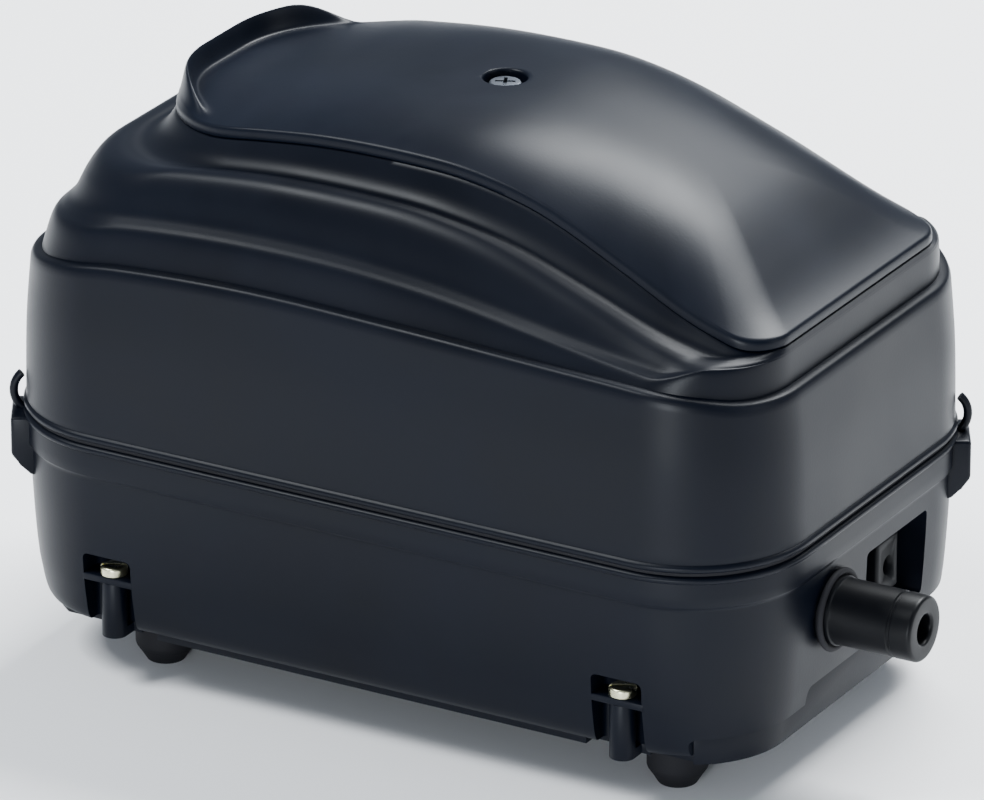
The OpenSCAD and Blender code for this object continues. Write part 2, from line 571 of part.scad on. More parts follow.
module diaphragm() {
    x0 = frame_x + frame_t;
    wave = (diaphragm_d / 2 - web_r) / 2 - 1;
    translate([x0, 0, shaft_z]) rotate([0, 90, 0]) rotate_extrude() difference() {
        union() {
            translate([shaft_d / 2 + 0.05, 0]) square([clamp_r - shaft_d / 2 - 0.05, membrane_t]);
            translate([web_r + wave + 1, membrane_t]) circle(wave);
        }
        translate([web_r + wave + 1, 0]) circle(wave - 1.2);
    }
}
module diaphragm_right() centred() color([0.1, 0.1, 0.1]) diaphragm();
module diaphragm_left() centred() color([0.1, 0.1, 0.1]) mirror([1, 0, 0]) diaphragm();
module diaphragm_plates() centred() color([0.7, 0.71, 0.72]) {
    both_x() for (x = [frame_x + frame_t - 2, frame_x + frame_t + membrane_t]) difference() {
        rod_x(x, x + 2, 0, shaft_z, web_r);
        rod_x(x - 1, x + 3, 0, shaft_z, shaft_d / 2);
    }
}
module shaft_nuts() centred() color([0.62, 0.62, 0.6]) {
    both_x() difference() {
        translate([frame_x + frame_t + membrane_t + 2, 0, shaft_z]) rotate([0, 90, 0]) cylinder(r = 5.8, h = 5, $fn = 6);
        rod_x(0, 200, 0, shaft_z, shaft_d / 2);
    }
}

// ---- pump heads, built for the +X end and mirrored ----
head_x = frame_x + frame_t + membrane_t;
chamber_x = head_x + 14;    // valve plate, chamber side
valve_x = chamber_x + 4;    // valve plate, valve side
head_end = valve_x + 14;
port_dz = 14;               // valve ports above and below the shaft
port_r = 4.5;
screw_y = 32.5;
screw_dz = 29.5;
hose_y = 14;
tank_z = 25;                // height of the tank's nipples
bend_r = 9;
hose_r = 5.5;
nipple_x = valve_x + 8;
module pump_head() {
    difference() {
        union() {
            plate_x(head_x, head_end, 72, 2 * clamp_r, 5);
            rod_z(nipple_x, hose_y, tank_z + bend_r, shaft_z - clamp_r + 1, spigot_r);
        }
        rod_x(head_x - 1, chamber_x, 0, shaft_z, diaphragm_d / 2 + 1);
        for (z = [-1, 1]) {
            rod_x(chamber_x - 1, valve_x + 1, 0, shaft_z + z * port_dz, port_r);
            box(valve_x, head_end + 1, -28, 28, shaft_z + (z > 0 ? 2 : -29), shaft_z + (z > 0 ? 29 : -2));
        }
        rod_z(nipple_x, 0, shaft_z + 20, 200, 5);
        rod_z(nipple_x, hose_y, 0, shaft_z - 20, spigot_r - 1.2);
        both_y() for (z = [-1, 1]) rod_x(head_x - 1, head_end + 1, screw_y, shaft_z + z * screw_dz, 2);
    }
}
module head_cover() {
    difference() {
        plate_x(head_end, head_end + 3, 72, 2 * clamp_r, 5);
        both_y() for (z = [-1, 1]) rod_x(head_end - 1, head_end + 4, screw_y, shaft_z + z * screw_dz, 2);
    }
}
flap_w = 13;
module flap(x, z) { box(x, x + 1, -flap_w / 2, flap_w / 2, z - flap_w / 2, z + flap_w / 2); }
module pump_head_right() centred() color([0.2, 0.21, 0.24]) pump_head();
module pump_head_left() centred() color([0.2, 0.21, 0.24]) mirror([1, 0, 0]) pump_head();
module head_cover_right() centred() color([0.15, 0.16, 0.18]) head_cover();
module head_cover_left() centred() color([0.15, 0.16, 0.18]) mirror([1, 0, 0]) head_cover();
module head_screws() centred() color([0.62, 0.62, 0.6]) {
    both_x() both_y() for (z = [-1, 1]) {
        rod_x(frame_x + 1, head_end + 3.1, screw_y, shaft_z + z * screw_dz, 1.8);
        rod_x(head_end + 3, head_end + 5.4, screw_y, shaft_z + z * screw_dz, 3.4);
    }
}
module inlet_flap_right() centred() color([0.3, 0.1, 0.1]) flap(chamber_x - 1.1, shaft_z + port_dz);
module outlet_flap_right() centred() color([0.3, 0.1, 0.1]) flap(valve_x + 0.1, shaft_z - port_dz);
module inlet_flap_left() centred() color([0.3, 0.1, 0.1]) mirror([1, 0, 0]) flap(chamber_x - 1.1, shaft_z + port_dz);
module outlet_flap_left() centred() color([0.3, 0.1, 0.1]) mirror([1, 0, 0]) flap(valve_x + 0.1, shaft_z - port_dz);

// ---- air tank and hoses ----
tank_x = 50;
tank_y = 30;
tank_top = 35;
module tank_nipples() {
    both_x() rod_x(tank_x - 1, tank_x + 8, hose_y, tank_z, spigot_r);
    rod_x(tank_x - 1, tank_x + 8, nozzle_y, tank_z, spigot_r);
}
module air_tank() centred() color([0.17, 0.18, 0.2]) {
    difference() {
        union() {
            box(-tank_x, tank_x, -tank_y, tank_y, deck_z, tank_top);
            tank_nipples();
        }
        box(-tank_x + 2, tank_x - 2, -tank_y + 2, tank_y - 2, deck_z + 2, tank_top + 1);
        both_x() rod_x(tank_x - 5, tank_x + 9, hose_y, tank_z, spigot_r - 1.2);
        rod_x(tank_x - 5, tank_x + 9, nozzle_y, tank_z, spigot_r - 1.2);
    }
}
module tank_lid() centred() color([0.17, 0.18, 0.2]) {
    box(-tank_x - 1, tank_x + 1, -tank_y - 1, tank_y + 1, tank_top, tank_top + 2.5);
}
// Hose from a tank nipple along X, then up through one bend; x is the plan place of its upright end
module elbow_hose(x, y, z_end) {
    module bore_ring(r) {
        rod_x(tank_x + 0.5, x - bend_r, y, tank_z, r);
        translate([x - bend_r, y, tank_z + bend_r]) rotate([90, 0, 0]) rotate([0, 0, -90])
            rotate_extrude(angle = 90) translate([bend_r, 0]) circle(r);
        rod_z(x, y, tank_z + bend_r, z_end, r);
    }
    difference() {
        bore_ring(hose_r);
        bore_ring(spigot_r + 0.05);
        rod_x(tank_x, tank_x + 3, y, tank_z, spigot_r + 0.05);
        rod_z(x, y, z_end - 1, z_end + 1, spigot_r + 0.05);
    }
}
module head_hoses() centred() color([0.06, 0.06, 0.06]) {
    both_x() elbow_hose(nipple_x, hose_y, shaft_z - clamp_r - 0.2);
}
module outlet_hose() centred() color([0.06, 0.06, 0.06]) {
    elbow_hose(spigot_x, nozzle_y, nozzle_z - nozzle_d / 2 - 0.3);
}

lower_housing();
base_plate();
rubber_feet();
foot_studs();
pocket_screws();
hood();
hood_screws();
waist_seal();
filter_tray();
filter_element();
filter_cover();
filter_cover_screw();
outlet_nozzle();
nozzle_seal();
cable_gland();
terminal_block();
chassis_frame();
vibration_mounts();
core_front();
core_back();
bobbin_front();
bobbin_back();
coil_front();
coil_back();
core_bolts();
armature_shaft();
armature_carrier();
magnets();
diaphragm_left();
diaphragm_right();
diaphragm_plates();
shaft_nuts();
pump_head_left();
pump_head_right();
head_cover_left();
head_cover_right();
head_screws();
inlet_flap_left();
inlet_flap_right();
outlet_flap_left();
outlet_flap_right();
air_tank();
tank_lid();
head_hoses();
outlet_hose();
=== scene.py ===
"""Finish of the pond air pump: moulded shells, hardware, drive and studio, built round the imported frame."""
import json
import math

import bmesh
import bpy
from mathutils import Matrix, Vector, noise
from bpy.props import FloatProperty, FloatVectorProperty, IntProperty, PointerProperty


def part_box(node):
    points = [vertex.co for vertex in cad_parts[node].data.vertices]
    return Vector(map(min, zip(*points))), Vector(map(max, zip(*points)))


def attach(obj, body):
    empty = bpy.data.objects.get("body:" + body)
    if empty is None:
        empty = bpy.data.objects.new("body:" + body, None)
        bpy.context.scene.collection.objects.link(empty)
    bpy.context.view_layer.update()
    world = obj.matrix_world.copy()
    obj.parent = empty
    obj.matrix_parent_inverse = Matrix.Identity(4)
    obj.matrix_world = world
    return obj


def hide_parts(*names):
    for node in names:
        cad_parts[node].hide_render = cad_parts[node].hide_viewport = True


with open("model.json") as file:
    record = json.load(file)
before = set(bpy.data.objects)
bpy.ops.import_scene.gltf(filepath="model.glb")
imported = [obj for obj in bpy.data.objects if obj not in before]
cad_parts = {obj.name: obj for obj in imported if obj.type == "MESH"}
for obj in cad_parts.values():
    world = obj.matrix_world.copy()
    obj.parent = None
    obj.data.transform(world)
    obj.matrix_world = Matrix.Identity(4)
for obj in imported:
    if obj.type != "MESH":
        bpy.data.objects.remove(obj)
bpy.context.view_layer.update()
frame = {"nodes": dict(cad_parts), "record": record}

bl_info = {
    "name": "Pond air pump",
    "version": (1, 0, 0),
    "blender": (4, 5, 0),
    "location": "View3D > Sidebar > Air pump",
    "description": "Builds the finished pieces of a diaphragm air pump round its frame",
    "category": "Add Mesh",
}

MM = 0.001


# ---------------------------------------------------------------- places read from the frame
def box_mm(node):
    """Lowest and highest corner of a node, in millimetres."""
    lo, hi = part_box(node)
    return lo / MM, hi / MM


HOOD = box_mm("hood")
SEAL = box_mm("waist_seal")
HOUSING = box_mm("lower_housing")
SCREW = box_mm("filter_cover_screw")
NOZZLE = box_mm("outlet_nozzle")
RING = box_mm("nozzle_seal")
GLAND = box_mm("cable_gland")
FEET = box_mm("rubber_feet")
POSTS = box_mm("pocket_screws")
TRAY = box_mm("filter_tray")
FOAM = box_mm("filter_element")

BEAD = 0.7                                  # stand-out of the waist beads
CASE_X = (HOOD[0].x + HOOD[1].x) / 2        # middle of the case along the pump
HALF_L = (HOOD[1].x - HOOD[0].x) / 2 - BEAD
HALF_W = (HOOD[1].y - HOOD[0].y) / 2 - BEAD
PART_Z = (SEAL[0].z + SEAL[1].z) / 2        # joint between the two halves of the case
SEAL_T = (SEAL[1].z - SEAL[0].z) / 2
FLOOR_Z = HOUSING[0].z
SCREW_X = (SCREW[0].x + SCREW[1].x) / 2     # place of the cover's screw along the pump
GLAND_Z = (GLAND[0].z + GLAND[1].z) / 2

POST_HEAD_R = 3.7       # head of a pocket screw
COVER_HEAD_R = 4.4      # head of the cover's screw
HEAD_H = 2.6            # height of both kinds of head
SHANK_R = 1.95
SHANK_L = 12.7          # length of a pocket screw under its head
FOOT_R = 8.25


# ---------------------------------------------------------------- settings a user would change
class PumpSizes(bpy.types.PropertyGroup):
    corner: FloatProperty(name="Corner radius", description="Plan radius of the case corners",
                          default=34 * MM, unit="LENGTH")
    wall: FloatProperty(name="Wall", description="Wall of the moulded shells",
                        default=2.4 * MM, unit="LENGTH")
    crease: FloatProperty(name="Crease height", description="Height where the hood's walls end",
                          default=122 * MM, unit="LENGTH")
    roof: FloatProperty(name="Roof height", description="Height of the filter cover's middle",
                        default=168.4 * MM, unit="LENGTH")
    flank: FloatProperty(name="Flank width", description="Width of the fluted flank beside the filter cover",
                         default=20.5 * MM, unit="LENGTH")
    ledge: FloatProperty(name="Ledge", description="Inset of the flank from the waist", default=5 * MM,
                         unit="LENGTH")
    lip: FloatProperty(name="Lip height", description="Rise of the lip round the head of the filter cover",
                       default=7.5 * MM, unit="LENGTH")
    outline_steps: IntProperty(name="Outline steps", description="Steps along one long side of a shell",
                               default=96, min=24)


class PumpColours(bpy.types.PropertyGroup):
    case: FloatVectorProperty(name="Case", description="Colour of the case plastic", subtype="COLOR",
                              default=(0.0008, 0.0017, 0.0046), size=3)
    cover: FloatVectorProperty(name="Filter cover", description="Colour of the filter cover's plastic",
                               subtype="COLOR", default=(0.0011, 0.0023, 0.0060), size=3)
    black: FloatVectorProperty(name="Black plastic", description="Colour of the nozzle and gland",
                               subtype="COLOR", default=(0.0012, 0.0015, 0.0024), size=3)
    rubber: FloatVectorProperty(name="Rubber", description="Colour of feet, seals and hoses",
                                subtype="COLOR", default=(0.010, 0.010, 0.012), size=3)
    brass: FloatVectorProperty(name="Screw plating", description="Colour of the plated pocket screws",
                               subtype="COLOR", default=(0.78, 0.76, 0.52), size=3)
    floor: FloatVectorProperty(name="Floor", description="Colour of the studio floor", subtype="COLOR",
                               default=(0.94, 0.94, 0.95), size=3)


# ---------------------------------------------------------------- shader groups
def node_at(tree, kind, x, y, **values):
    """Adds a node and sets its attributes, or its inputs where the name starts with in_."""
    node = tree.nodes.new(kind)
    node.location = (x, y)
    for name, value in values.items():
        if name.startswith("in_"):
            node.inputs[name[3:].replace("_", " ")].default_value = value
        else:
            setattr(node, name, value)
    return node


def new_group(name, inputs, outputs):
    """Empty shader node group with float inputs {name: default} and outputs {name: socket type}."""
    group = bpy.data.node_groups.new(name, "ShaderNodeTree")
    for key, default in inputs.items():
        socket = group.interface.new_socket(key, in_out="INPUT", socket_type="NodeSocketFloat")
        socket.default_value = default
    for key, kind in outputs.items():
        group.interface.new_socket(key, in_out="OUTPUT", socket_type=kind)
    return group, node_at(group, "NodeGroupInput", -900, 0), node_at(group, "NodeGroupOutput", 700, 0)


def moulded_grain_group():
    """Spark-eroded mould grain: fine height, and a broad flow-mark mask."""
    group, src, out = new_group("MouldedGrain", {"Grain Scale": 1500.0, "Flow Scale": 18.0, "Depth": 1.0},
                                {"Height": "NodeSocketFloat", "Flow": "NodeSocketFloat"})
    links = group.links
    coord = node_at(group, "ShaderNodeTexCoord", -900, 300)
    cells = node_at(group, "ShaderNodeTexVoronoi", -500, 300, feature="SMOOTH_F1")
    fine = node_at(group, "ShaderNodeTexNoise", -500, 0, in_Detail=3.0, in_Roughness=0.6)
    broad = node_at(group, "ShaderNodeTexNoise", -500, -300,
                    in_Detail=4.0, in_Roughness=0.55, in_Distortion=0.6)
    blend = node_at(group, "ShaderNodeMath", -200, 200, operation="MULTIPLY_ADD")
    blend.inputs[1].default_value = 0.55
    scaled = node_at(group, "ShaderNodeMath", 100, 200, operation="MULTIPLY")
    flow = node_at(group, "ShaderNodeMapRange", -100, -300)
    flow.inputs["From Min"].default_value = 0.35
    flow.inputs["From Max"].default_value = 0.70
    for node in (cells, fine, broad):
        links.new(coord.outputs["Object"], node.inputs["Vector"])
    links.new(src.outputs["Grain Scale"], cells.inputs["Scale"])
    links.new(src.outputs["Grain Scale"], fine.inputs["Scale"])
    links.new(src.outputs["Flow Scale"], broad.inputs["Scale"])
    links.new(cells.outputs["Distance"], blend.inputs[0])
    links.new(fine.outputs["Fac"], blend.inputs[2])
    links.new(blend.outputs[0], scaled.inputs[0])
    links.new(src.outputs["Depth"], scaled.inputs[1])
    links.new(broad.outputs["Fac"], flow.inputs["Value"])
    links.new(scaled.outputs[0], out.inputs["Height"])
    links.new(flow.outputs[0], out.inputs["Flow"])
    return group


def dust_group():
    """Light dust on faces that look up, broken by noise."""
    group, src, out = new_group("SettledDust", {"Amount": 0.5, "Speck Scale": 260.0},
                                {"Mask": "NodeSocketFloat"})
    links = group.links
    geometry = node_at(group, "ShaderNodeNewGeometry", -900, 300)
    coord = node_at(group, "ShaderNodeTexCoord", -900, -200)
    axis = node_at(group, "ShaderNodeSeparateXYZ", -700, 300)
    up = node_at(group, "ShaderNodeMapRange", -500, 300)
    up.inputs["From Min"].default_value = 0.2
    up.inputs["From Max"].default_value = 1.0
    specks = node_at(group, "ShaderNodeTexNoise", -700, -100, in_Detail=5.0, in_Roughness=0.7)
    cut = node_at(group, "ShaderNodeMapRange", -500, -100)
    cut.inputs["From Min"].default_value = 0.45
    cut.inputs["From Max"].default_value = 0.75
    both = node_at(group, "ShaderNodeMath", -250, 100, operation="MULTIPLY")
    amount = node_at(group, "ShaderNodeMath", 0, 100, operation="MULTIPLY")
    links.new(geometry.outputs["Normal"], axis.inputs[0])
    links.new(axis.outputs["Z"], up.inputs["Value"])
    links.new(coord.outputs["Object"], specks.inputs["Vector"])
    links.new(src.outputs["Speck Scale"], specks.inputs["Scale"])
    links.new(specks.outputs["Fac"], cut.inputs["Value"])
    links.new(up.outputs[0], both.inputs[0])
    links.new(cut.outputs[0], both.inputs[1])
    links.new(both.outputs[0], amount.inputs[0])
    links.new(src.outputs["Amount"], amount.inputs[1])
    links.new(amount.outputs[0], out.inputs["Mask"])
    return group


def brushed_group():
    """Fine turning or brushing marks that run round or across one axis of the piece."""
    group, src, out = new_group("ToolMarks", {"Mark Scale": 900.0, "Stretch": 14.0},
                                {"Height": "NodeSocketFloat", "Mask": "NodeSocketFloat"})
    links = group.links
    coord = node_at(group, "ShaderNodeTexCoord", -900, 200)
    stretch = node_at(group, "ShaderNodeCombineXYZ", -900, -150, in_X=1.0, in_Y=1.0)
    scale = node_at(group, "ShaderNodeVectorMath", -650, 100, operation="MULTIPLY")
    marks = node_at(group, "ShaderNodeTexNoise", -400, 100, in_Detail=4.0, in_Roughness=0.65)
    stain = node_at(group, "ShaderNodeTexNoise", -400, -200, in_Scale=120.0, in_Detail=3.0)
    mask = node_at(group, "ShaderNodeMapRange", -100, -200)
    mask.inputs["From Min"].default_value = 0.42
    mask.inputs["From Max"].default_value = 0.68
    links.new(src.outputs["Stretch"], stretch.inputs["Z"])
    links.new(coord.outputs["Object"], scale.inputs[0])
    links.new(stretch.outputs[0], scale.inputs[1])
    links.new(scale.outputs[0], marks.inputs["Vector"])
    links.new(src.outputs["Mark Scale"], marks.inputs["Scale"])
    links.new(coord.outputs["Object"], stain.inputs["Vector"])
    links.new(stain.outputs["Fac"], mask.inputs["Value"])
    links.new(marks.outputs["Fac"], out.inputs["Height"])
    links.new(mask.outputs[0], out.inputs["Mask"])
    return group


def group_node(tree, name, x, y, **values):
    node = node_at(tree, "ShaderNodeGroup", x, y)
    node.node_tree = bpy.data.node_groups[name]
    for key, value in values.items():
        node.inputs[key.replace("_", " ")].default_value = value
    return node


def start_material(name, roughness, metallic=0.0, **shader):
    """Material with a Principled shader whose constants are set on its own sockets."""
    material = bpy.data.materials.new(name)
    material.use_nodes = True
    bsdf = material.node_tree.nodes["Principled BSDF"]
    bsdf.inputs["Roughness"].default_value = roughness
    bsdf.inputs["Metallic"].default_value = metallic
    for key, value in shader.items():
        bsdf.inputs[key.replace("_", " ")].default_value = value
    return material, material.node_tree, bsdf


def ramp_between(tree, factor, low, high, x=-500, y=300):
    """Colour that runs from low to high with the factor socket."""
    ramp = node_at(tree, "ShaderNodeValToRGB", x, y)
    ramp.color_ramp.elements[0].color = (*low, 1)
    ramp.color_ramp.elements[1].color = (*high, 1)
    tree.links.new(factor, ramp.inputs["Fac"])
    return ramp.outputs["Color"]


def range_node(tree, factor, low, high, x=-500, y=0):
    """Value that runs from low to high with the factor socket."""
    node = node_at(tree, "ShaderNodeMapRange", x, y)
    node.inputs["To Min"].default_value = low
    node.inputs["To Max"].default_value = high
    tree.links.new(factor, node.inputs["Value"])
    return node.outputs[0]


def plastic(name, colour, roughness, grain=1500.0, depth=0.00002, dust=0.25, coat=0.0):
    """Injection-moulded plastic with mould grain, flow marks and a trace of dust."""
    material, tree, bsdf = start_material(name, roughness, Specular_IOR_Level=0.13, Coat_Weight=coat,
                                          Coat_Roughness=0.25)
    skin = group_node(tree, "MouldedGrain", -1000, 100, Grain_Scale=grain)
    settled = group_node(tree, "SettledDust", -1000, -300, Amount=dust)
    lighter = [min(1.0, c * 1.3) for c in colour]
    base = ramp_between(tree, skin.outputs["Flow"], tuple(c * 0.9 for c in colour), lighter)
    mix = node_at(tree, "ShaderNodeMix", -200, 300, data_type="RGBA")
    mix.inputs["B"].default_value = (0.16, 0.165, 0.17, 1)
    veil = range_node(tree, settled.outputs["Mask"], 0.0, 0.015, -500, -300)
    rough = range_node(tree, skin.outputs["Flow"], roughness - 0.035, roughness + 0.045, -500, 0)
    bump = node_at(tree, "ShaderNodeBump", -200, -200, in_Strength=0.55, in_Distance=depth)
    tree.links.new(veil, mix.inputs["Factor"])
    tree.links.new(base, mix.inputs["A"])
    tree.links.new(mix.outputs["Result"], bsdf.inputs["Base Color"])
    tree.links.new(rough, bsdf.inputs["Roughness"])
    tree.links.new(skin.outputs["Height"], bump.inputs["Height"])
    tree.links.new(bump.outputs["Normal"], bsdf.inputs["Normal"])
    return material


def metal(name, colour, roughness, scale=900.0, stretch=14.0, tarnish=0.55):
    """Plated or ground metal with tool marks and dull patches."""
    material, tree, bsdf = start_material(name, roughness, metallic=1.0)
    marks = group_node(tree, "ToolMarks", -1000, 100, Mark_Scale=scale, Stretch=stretch)
    base = ramp_between(tree, marks.outputs["Mask"], tuple(colour), tuple(c * tarnish for c in colour))
    rough = range_node(tree, marks.outputs["Mask"], roughness, min(1.0, roughness + 0.2))
    bump = node_at(tree, "ShaderNodeBump", -200, -200, in_Strength=0.4, in_Distance=0.00002)
    tree.links.new(base, bsdf.inputs["Base Color"])
    tree.links.new(rough, bsdf.inputs["Roughness"])
    tree.links.new(marks.outputs["Height"], bump.inputs["Height"])
    tree.links.new(bump.outputs["Normal"], bsdf.inputs["Normal"])
    return material


def foam_material(name, colour):
    """Open-cell foam: deep cells in height, and painted shade of the cells in the colour."""
    material, tree, bsdf = start_material(name, 0.95, Specular_IOR_Level=0.15)
    coord = node_at(tree, "ShaderNodeTexCoord", -1200, 0)
    cells = node_at(tree, "ShaderNodeTexVoronoi", -900, 0, in_Scale=700.0, in_Randomness=1.0)
    tree.links.new(coord.outputs["Object"], cells.inputs["Vector"])
    # painted shade: the colour runs dark in the cell pits and light on the cell rims, following the same cell
    # distance that gives the bump its height
    base = ramp_between(tree, cells.outputs["Distance"], tuple(c * 0.25 for c in colour),
                        tuple(c * 1.5 for c in colour))
    bump = node_at(tree, "ShaderNodeBump", -200, -200, in_Strength=0.9, in_Distance=0.0006)
    tree.links.new(base, bsdf.inputs["Base Color"])
    tree.links.new(cells.outputs["Distance"], bump.inputs["Height"])
    tree.links.new(bump.outputs["Normal"], bsdf.inputs["Normal"])
    return material


def floor_material(colour):
    """Matte studio paper with a faint tooth."""
    material, tree, bsdf = start_material("StudioPaper", 0.9, Specular_IOR_Level=0.1)
    coord = node_at(tree, "ShaderNodeTexCoord", -1200, 0)
    tooth = node_at(tree, "ShaderNodeTexNoise", -900, 0, in_Scale=3.0, in_Detail=2.0)
    tree.links.new(coord.outputs["Object"], tooth.inputs["Vector"])
    base = ramp_between(tree, tooth.outputs["Fac"], tuple(c * 0.99 for c in colour), tuple(colour))
    tree.links.new(base, bsdf.inputs["Base Color"])
    return material


def make_materials(colours):
    """Every finish of the pump, by record slot."""
    moulded_grain_group()
    dust_group()
    brushed_group()
    grey = (0.026, 0.027, 0.031)
    return {
        "case_plastic": plastic("CasePlastic", tuple(colours.case), 0.40),
        "cover_plastic": plastic("CoverPlastic", tuple(colours.cover), 0.38),
        "nozzle_plastic": plastic("NozzlePlastic", tuple(colours.black), 0.42, grain=1800.0),
        "inner_plastic": plastic("InnerPlastic", grey, 0.55, grain=1100.0),
        "pale_plastic": plastic("PalePlastic", (0.55, 0.52, 0.43), 0.5, grain=1100.0, dust=0.1),
        "black_rubber": plastic("BlackRubber", tuple(colours.rubber), 0.72, grain=900.0,
                                depth=0.00004, dust=0.6),
        "brass_screw": metal("PlatedScrew", tuple(colours.brass), 0.22),
        "zinc_steel": metal("ZincSteel", (0.55, 0.56, 0.58), 0.33),
        "cover_screw_steel": metal("BlackScrew", (0.10, 0.11, 0.13), 0.42),
        "bent_sheet": metal("GalvanisedSheet", (0.52, 0.54, 0.56), 0.42, scale=160.0,
                            stretch=1.0, tarnish=0.8),
        "core_steel": metal("CoreSteel", (0.20, 0.20, 0.22), 0.5, scale=1600.0, stretch=0.1),
        "magnet": metal("FerriteMagnet", (0.09, 0.09, 0.10), 0.6, scale=500.0, stretch=1.0),
        "copper_coil": metal("EnamelledWire", (0.55, 0.19, 0.07), 0.32, scale=700.0, stretch=1.0),
        "foam": foam_material("FilterFoam", (0.055, 0.058, 0.064)),
    }


# ---------------------------------------------------------------- mesh helpers
def mesh_object(name, bm, material, sharp=35.0):
    """Object from a bmesh in millimetres, smooth with sharp edges kept, placed in metres."""
    bmesh.ops.remove_doubles(bm, verts=bm.verts, dist=0.002)
    bmesh.ops.recalc_face_normals(bm, faces=bm.faces)
    bmesh.ops.scale(bm, vec=(MM, MM, MM), verts=bm.verts)
    mesh = bpy.data.meshes.new(name)
    bm.to_mesh(mesh)
    bm.free()
    obj = bpy.data.objects.new(name, mesh)
    bpy.context.scene.collection.objects.link(obj)
    mesh.materials.append(material)
    smooth(obj, sharp)
    return obj


def smooth(obj, sharp=35.0):
    """Smooth shading, with edges sharper than the angle kept crisp."""
    mesh = obj.data
    mesh.polygons.foreach_set("use_smooth", [True] * len(mesh.polygons))
    mesh.set_sharp_from_angle(angle=math.radians(sharp))


def baked(obj):
    """Replaces the object's mesh by what its modifiers make, and removes them."""
    graph = bpy.context.evaluated_depsgraph_get()
    mesh = bpy.data.meshes.new_from_object(obj.evaluated_get(graph), depsgraph=graph)
    obj.modifiers.clear()
    old = obj.data
    obj.data = mesh
    mesh.name = obj.name
    bpy.data.meshes.remove(old)
    return obj


def ring_solid(bm, rings, closed):
    """Quads between successive rings; closed joins the last ring to the first."""
    rows = [[bm.verts.new(p) for p in ring] for ring in rings]
    count = len(rows[0])
    pairs = list(zip(rows, rows[1:]))
    if closed:
        pairs.append((rows[-1], rows[0]))
    for low, high in pairs:
        for i in range(count):
            k = (i + 1) % count
            bm.faces.new((low[i], low[k], high[k], high[i]))
    return rows


def capped(bm, rings):
    """Closed solid through a stack of rings with flat ends."""
    rows = ring_solid(bm, rings, closed=False)
    for row in (rows[0], rows[-1]):
        bm.faces.new(row)


def bevel(obj, width, segments=3, angle=30.0):
    """Bevel modifier on the edges sharper than the angle."""
    mod = obj.modifiers.new("Bevel", "BEVEL")
    mod.width = width
    mod.segments = segments
    mod.limit_method = "ANGLE"
    mod.angle_limit = math.radians(angle)
    mod.harden_normals = False
    return mod


def cut(obj, tool, operation="DIFFERENCE", keep=False):
    """One Boolean of obj with tool, baked; the tool is removed unless it is kept."""
    mod = obj.modifiers.new("Cut", "BOOLEAN")
    mod.operation = operation
    mod.solver = "EXACT"
    mod.object = tool
    baked(obj)
    if not keep:
        bpy.data.objects.remove(tool)
    return obj


def block(name, x0, x1, y0, y1, z0, z1, material, radius=0.0, segments=3):
    """Box in millimetres with rounded edges."""
    bm = bmesh.new()
    bmesh.ops.create_cube(bm, size=1.0)
    for v in bm.verts:
        v.co = Vector(((x0, x1)[v.co.x > 0], (y0, y1)[v.co.y > 0], (z0, z1)[v.co.z > 0]))
    if radius:
        bmesh.ops.bevel(bm, geom=bm.edges, offset=radius, segments=segments, profile=0.5, affect="EDGES")
    return mesh_object(name, bm, material)


def turned(bm, profile, centre, axis="Z", steps=64):
    """Solid of revolution; profile is [(radius, height)...] from axis to axis, along the given axis."""
    turn = {"Z": Matrix.Identity(3), "X": Matrix.Rotation(math.radians(90), 3, "Y")}[axis]
    rings = []
    for r, h in profile:
        ring = [Vector((r * math.cos(math.tau * k / steps), r * math.sin(math.tau * k / steps), h))
                for k in range(steps)]
        rings.append([turn @ p + Vector(centre) for p in ring])
    ring_solid(bm, rings, closed=False)


def rod(r, low, high):
    """Profile of a plain cylinder."""
    return [(0, low), (r, low), (r, high), (0, high)]


def lathe(name, profile, centre, material, axis="Z", steps=64, sharp=35.0):
    """Object from one solid of revolution."""
    bm = bmesh.new()
    turned(bm, profile, centre, axis, steps)
    return mesh_object(name, bm, material, sharp)


def arc(cx, cy, r, a0, a1, steps):
    """Points of an arc in a profile, angles in degrees."""
    return [(cx + r * math.cos(math.radians(a0 + (a1 - a0) * k / steps)),
             cy + r * math.sin(math.radians(a0 + (a1 - a0) * k / steps))) for k in range(steps + 1)]


# ---------------------------------------------------------------- surface of the case
def lerp(a, b, t):
    """Value at share t of the way from a to b."""
    return a + (b - a) * t


def ease(t):
    """Soft step from 0 to 1."""
    t = min(max(t, 0.0), 1.0)
    return t * t * (3 - 2 * t)


def curve(points, x):
    """Smooth curve through given points (position, value)."""
    i = 0
    while i < len(points) - 2 and x >= points[i + 1][0]:
        i += 1

    def slope(j):
        a, b = max(j - 1, 0), min(j + 1, len(points) - 1)
        return (points[b][1] - points[a][1]) / (points[b][0] - points[a][0])
    h = points[i + 1][0] - points[i][0]
    t = min(max((x - points[i][0]) / h, 0.0), 1.0)
    m0, m1 = slope(i) * h, slope(i + 1) * h
    return ((2 * t ** 3 - 3 * t ** 2 + 1) * points[i][1] + (t ** 3 - 2 * t ** 2 + t) * m0
            + (3 * t ** 2 - 2 * t ** 3) * points[i + 1][1] + (t ** 3 - t ** 2) * m1)


# drop of the filter cover's middle and edge below the roof, along the case
MID_DROP = [(-86, 7.5), (-76, 7), (-62, 7.5), (-45, 5), (-20, 1.2), (5, 0), (22, 0.4), (40, 3.4), (60, 8.6),
            (80, 16), (95, 24), (105, 30), (114, 35.4)]
EDGE_DROP = [(-86, 13.5), (-62, 11.5), (-45, 9), (-22, 6.8), (5, 6.6), (22, 8), (42, 12.8), (67, 23.2),
             (86, 31.8), (97, 35.6), (104, 37.4), (112, 37.6)]
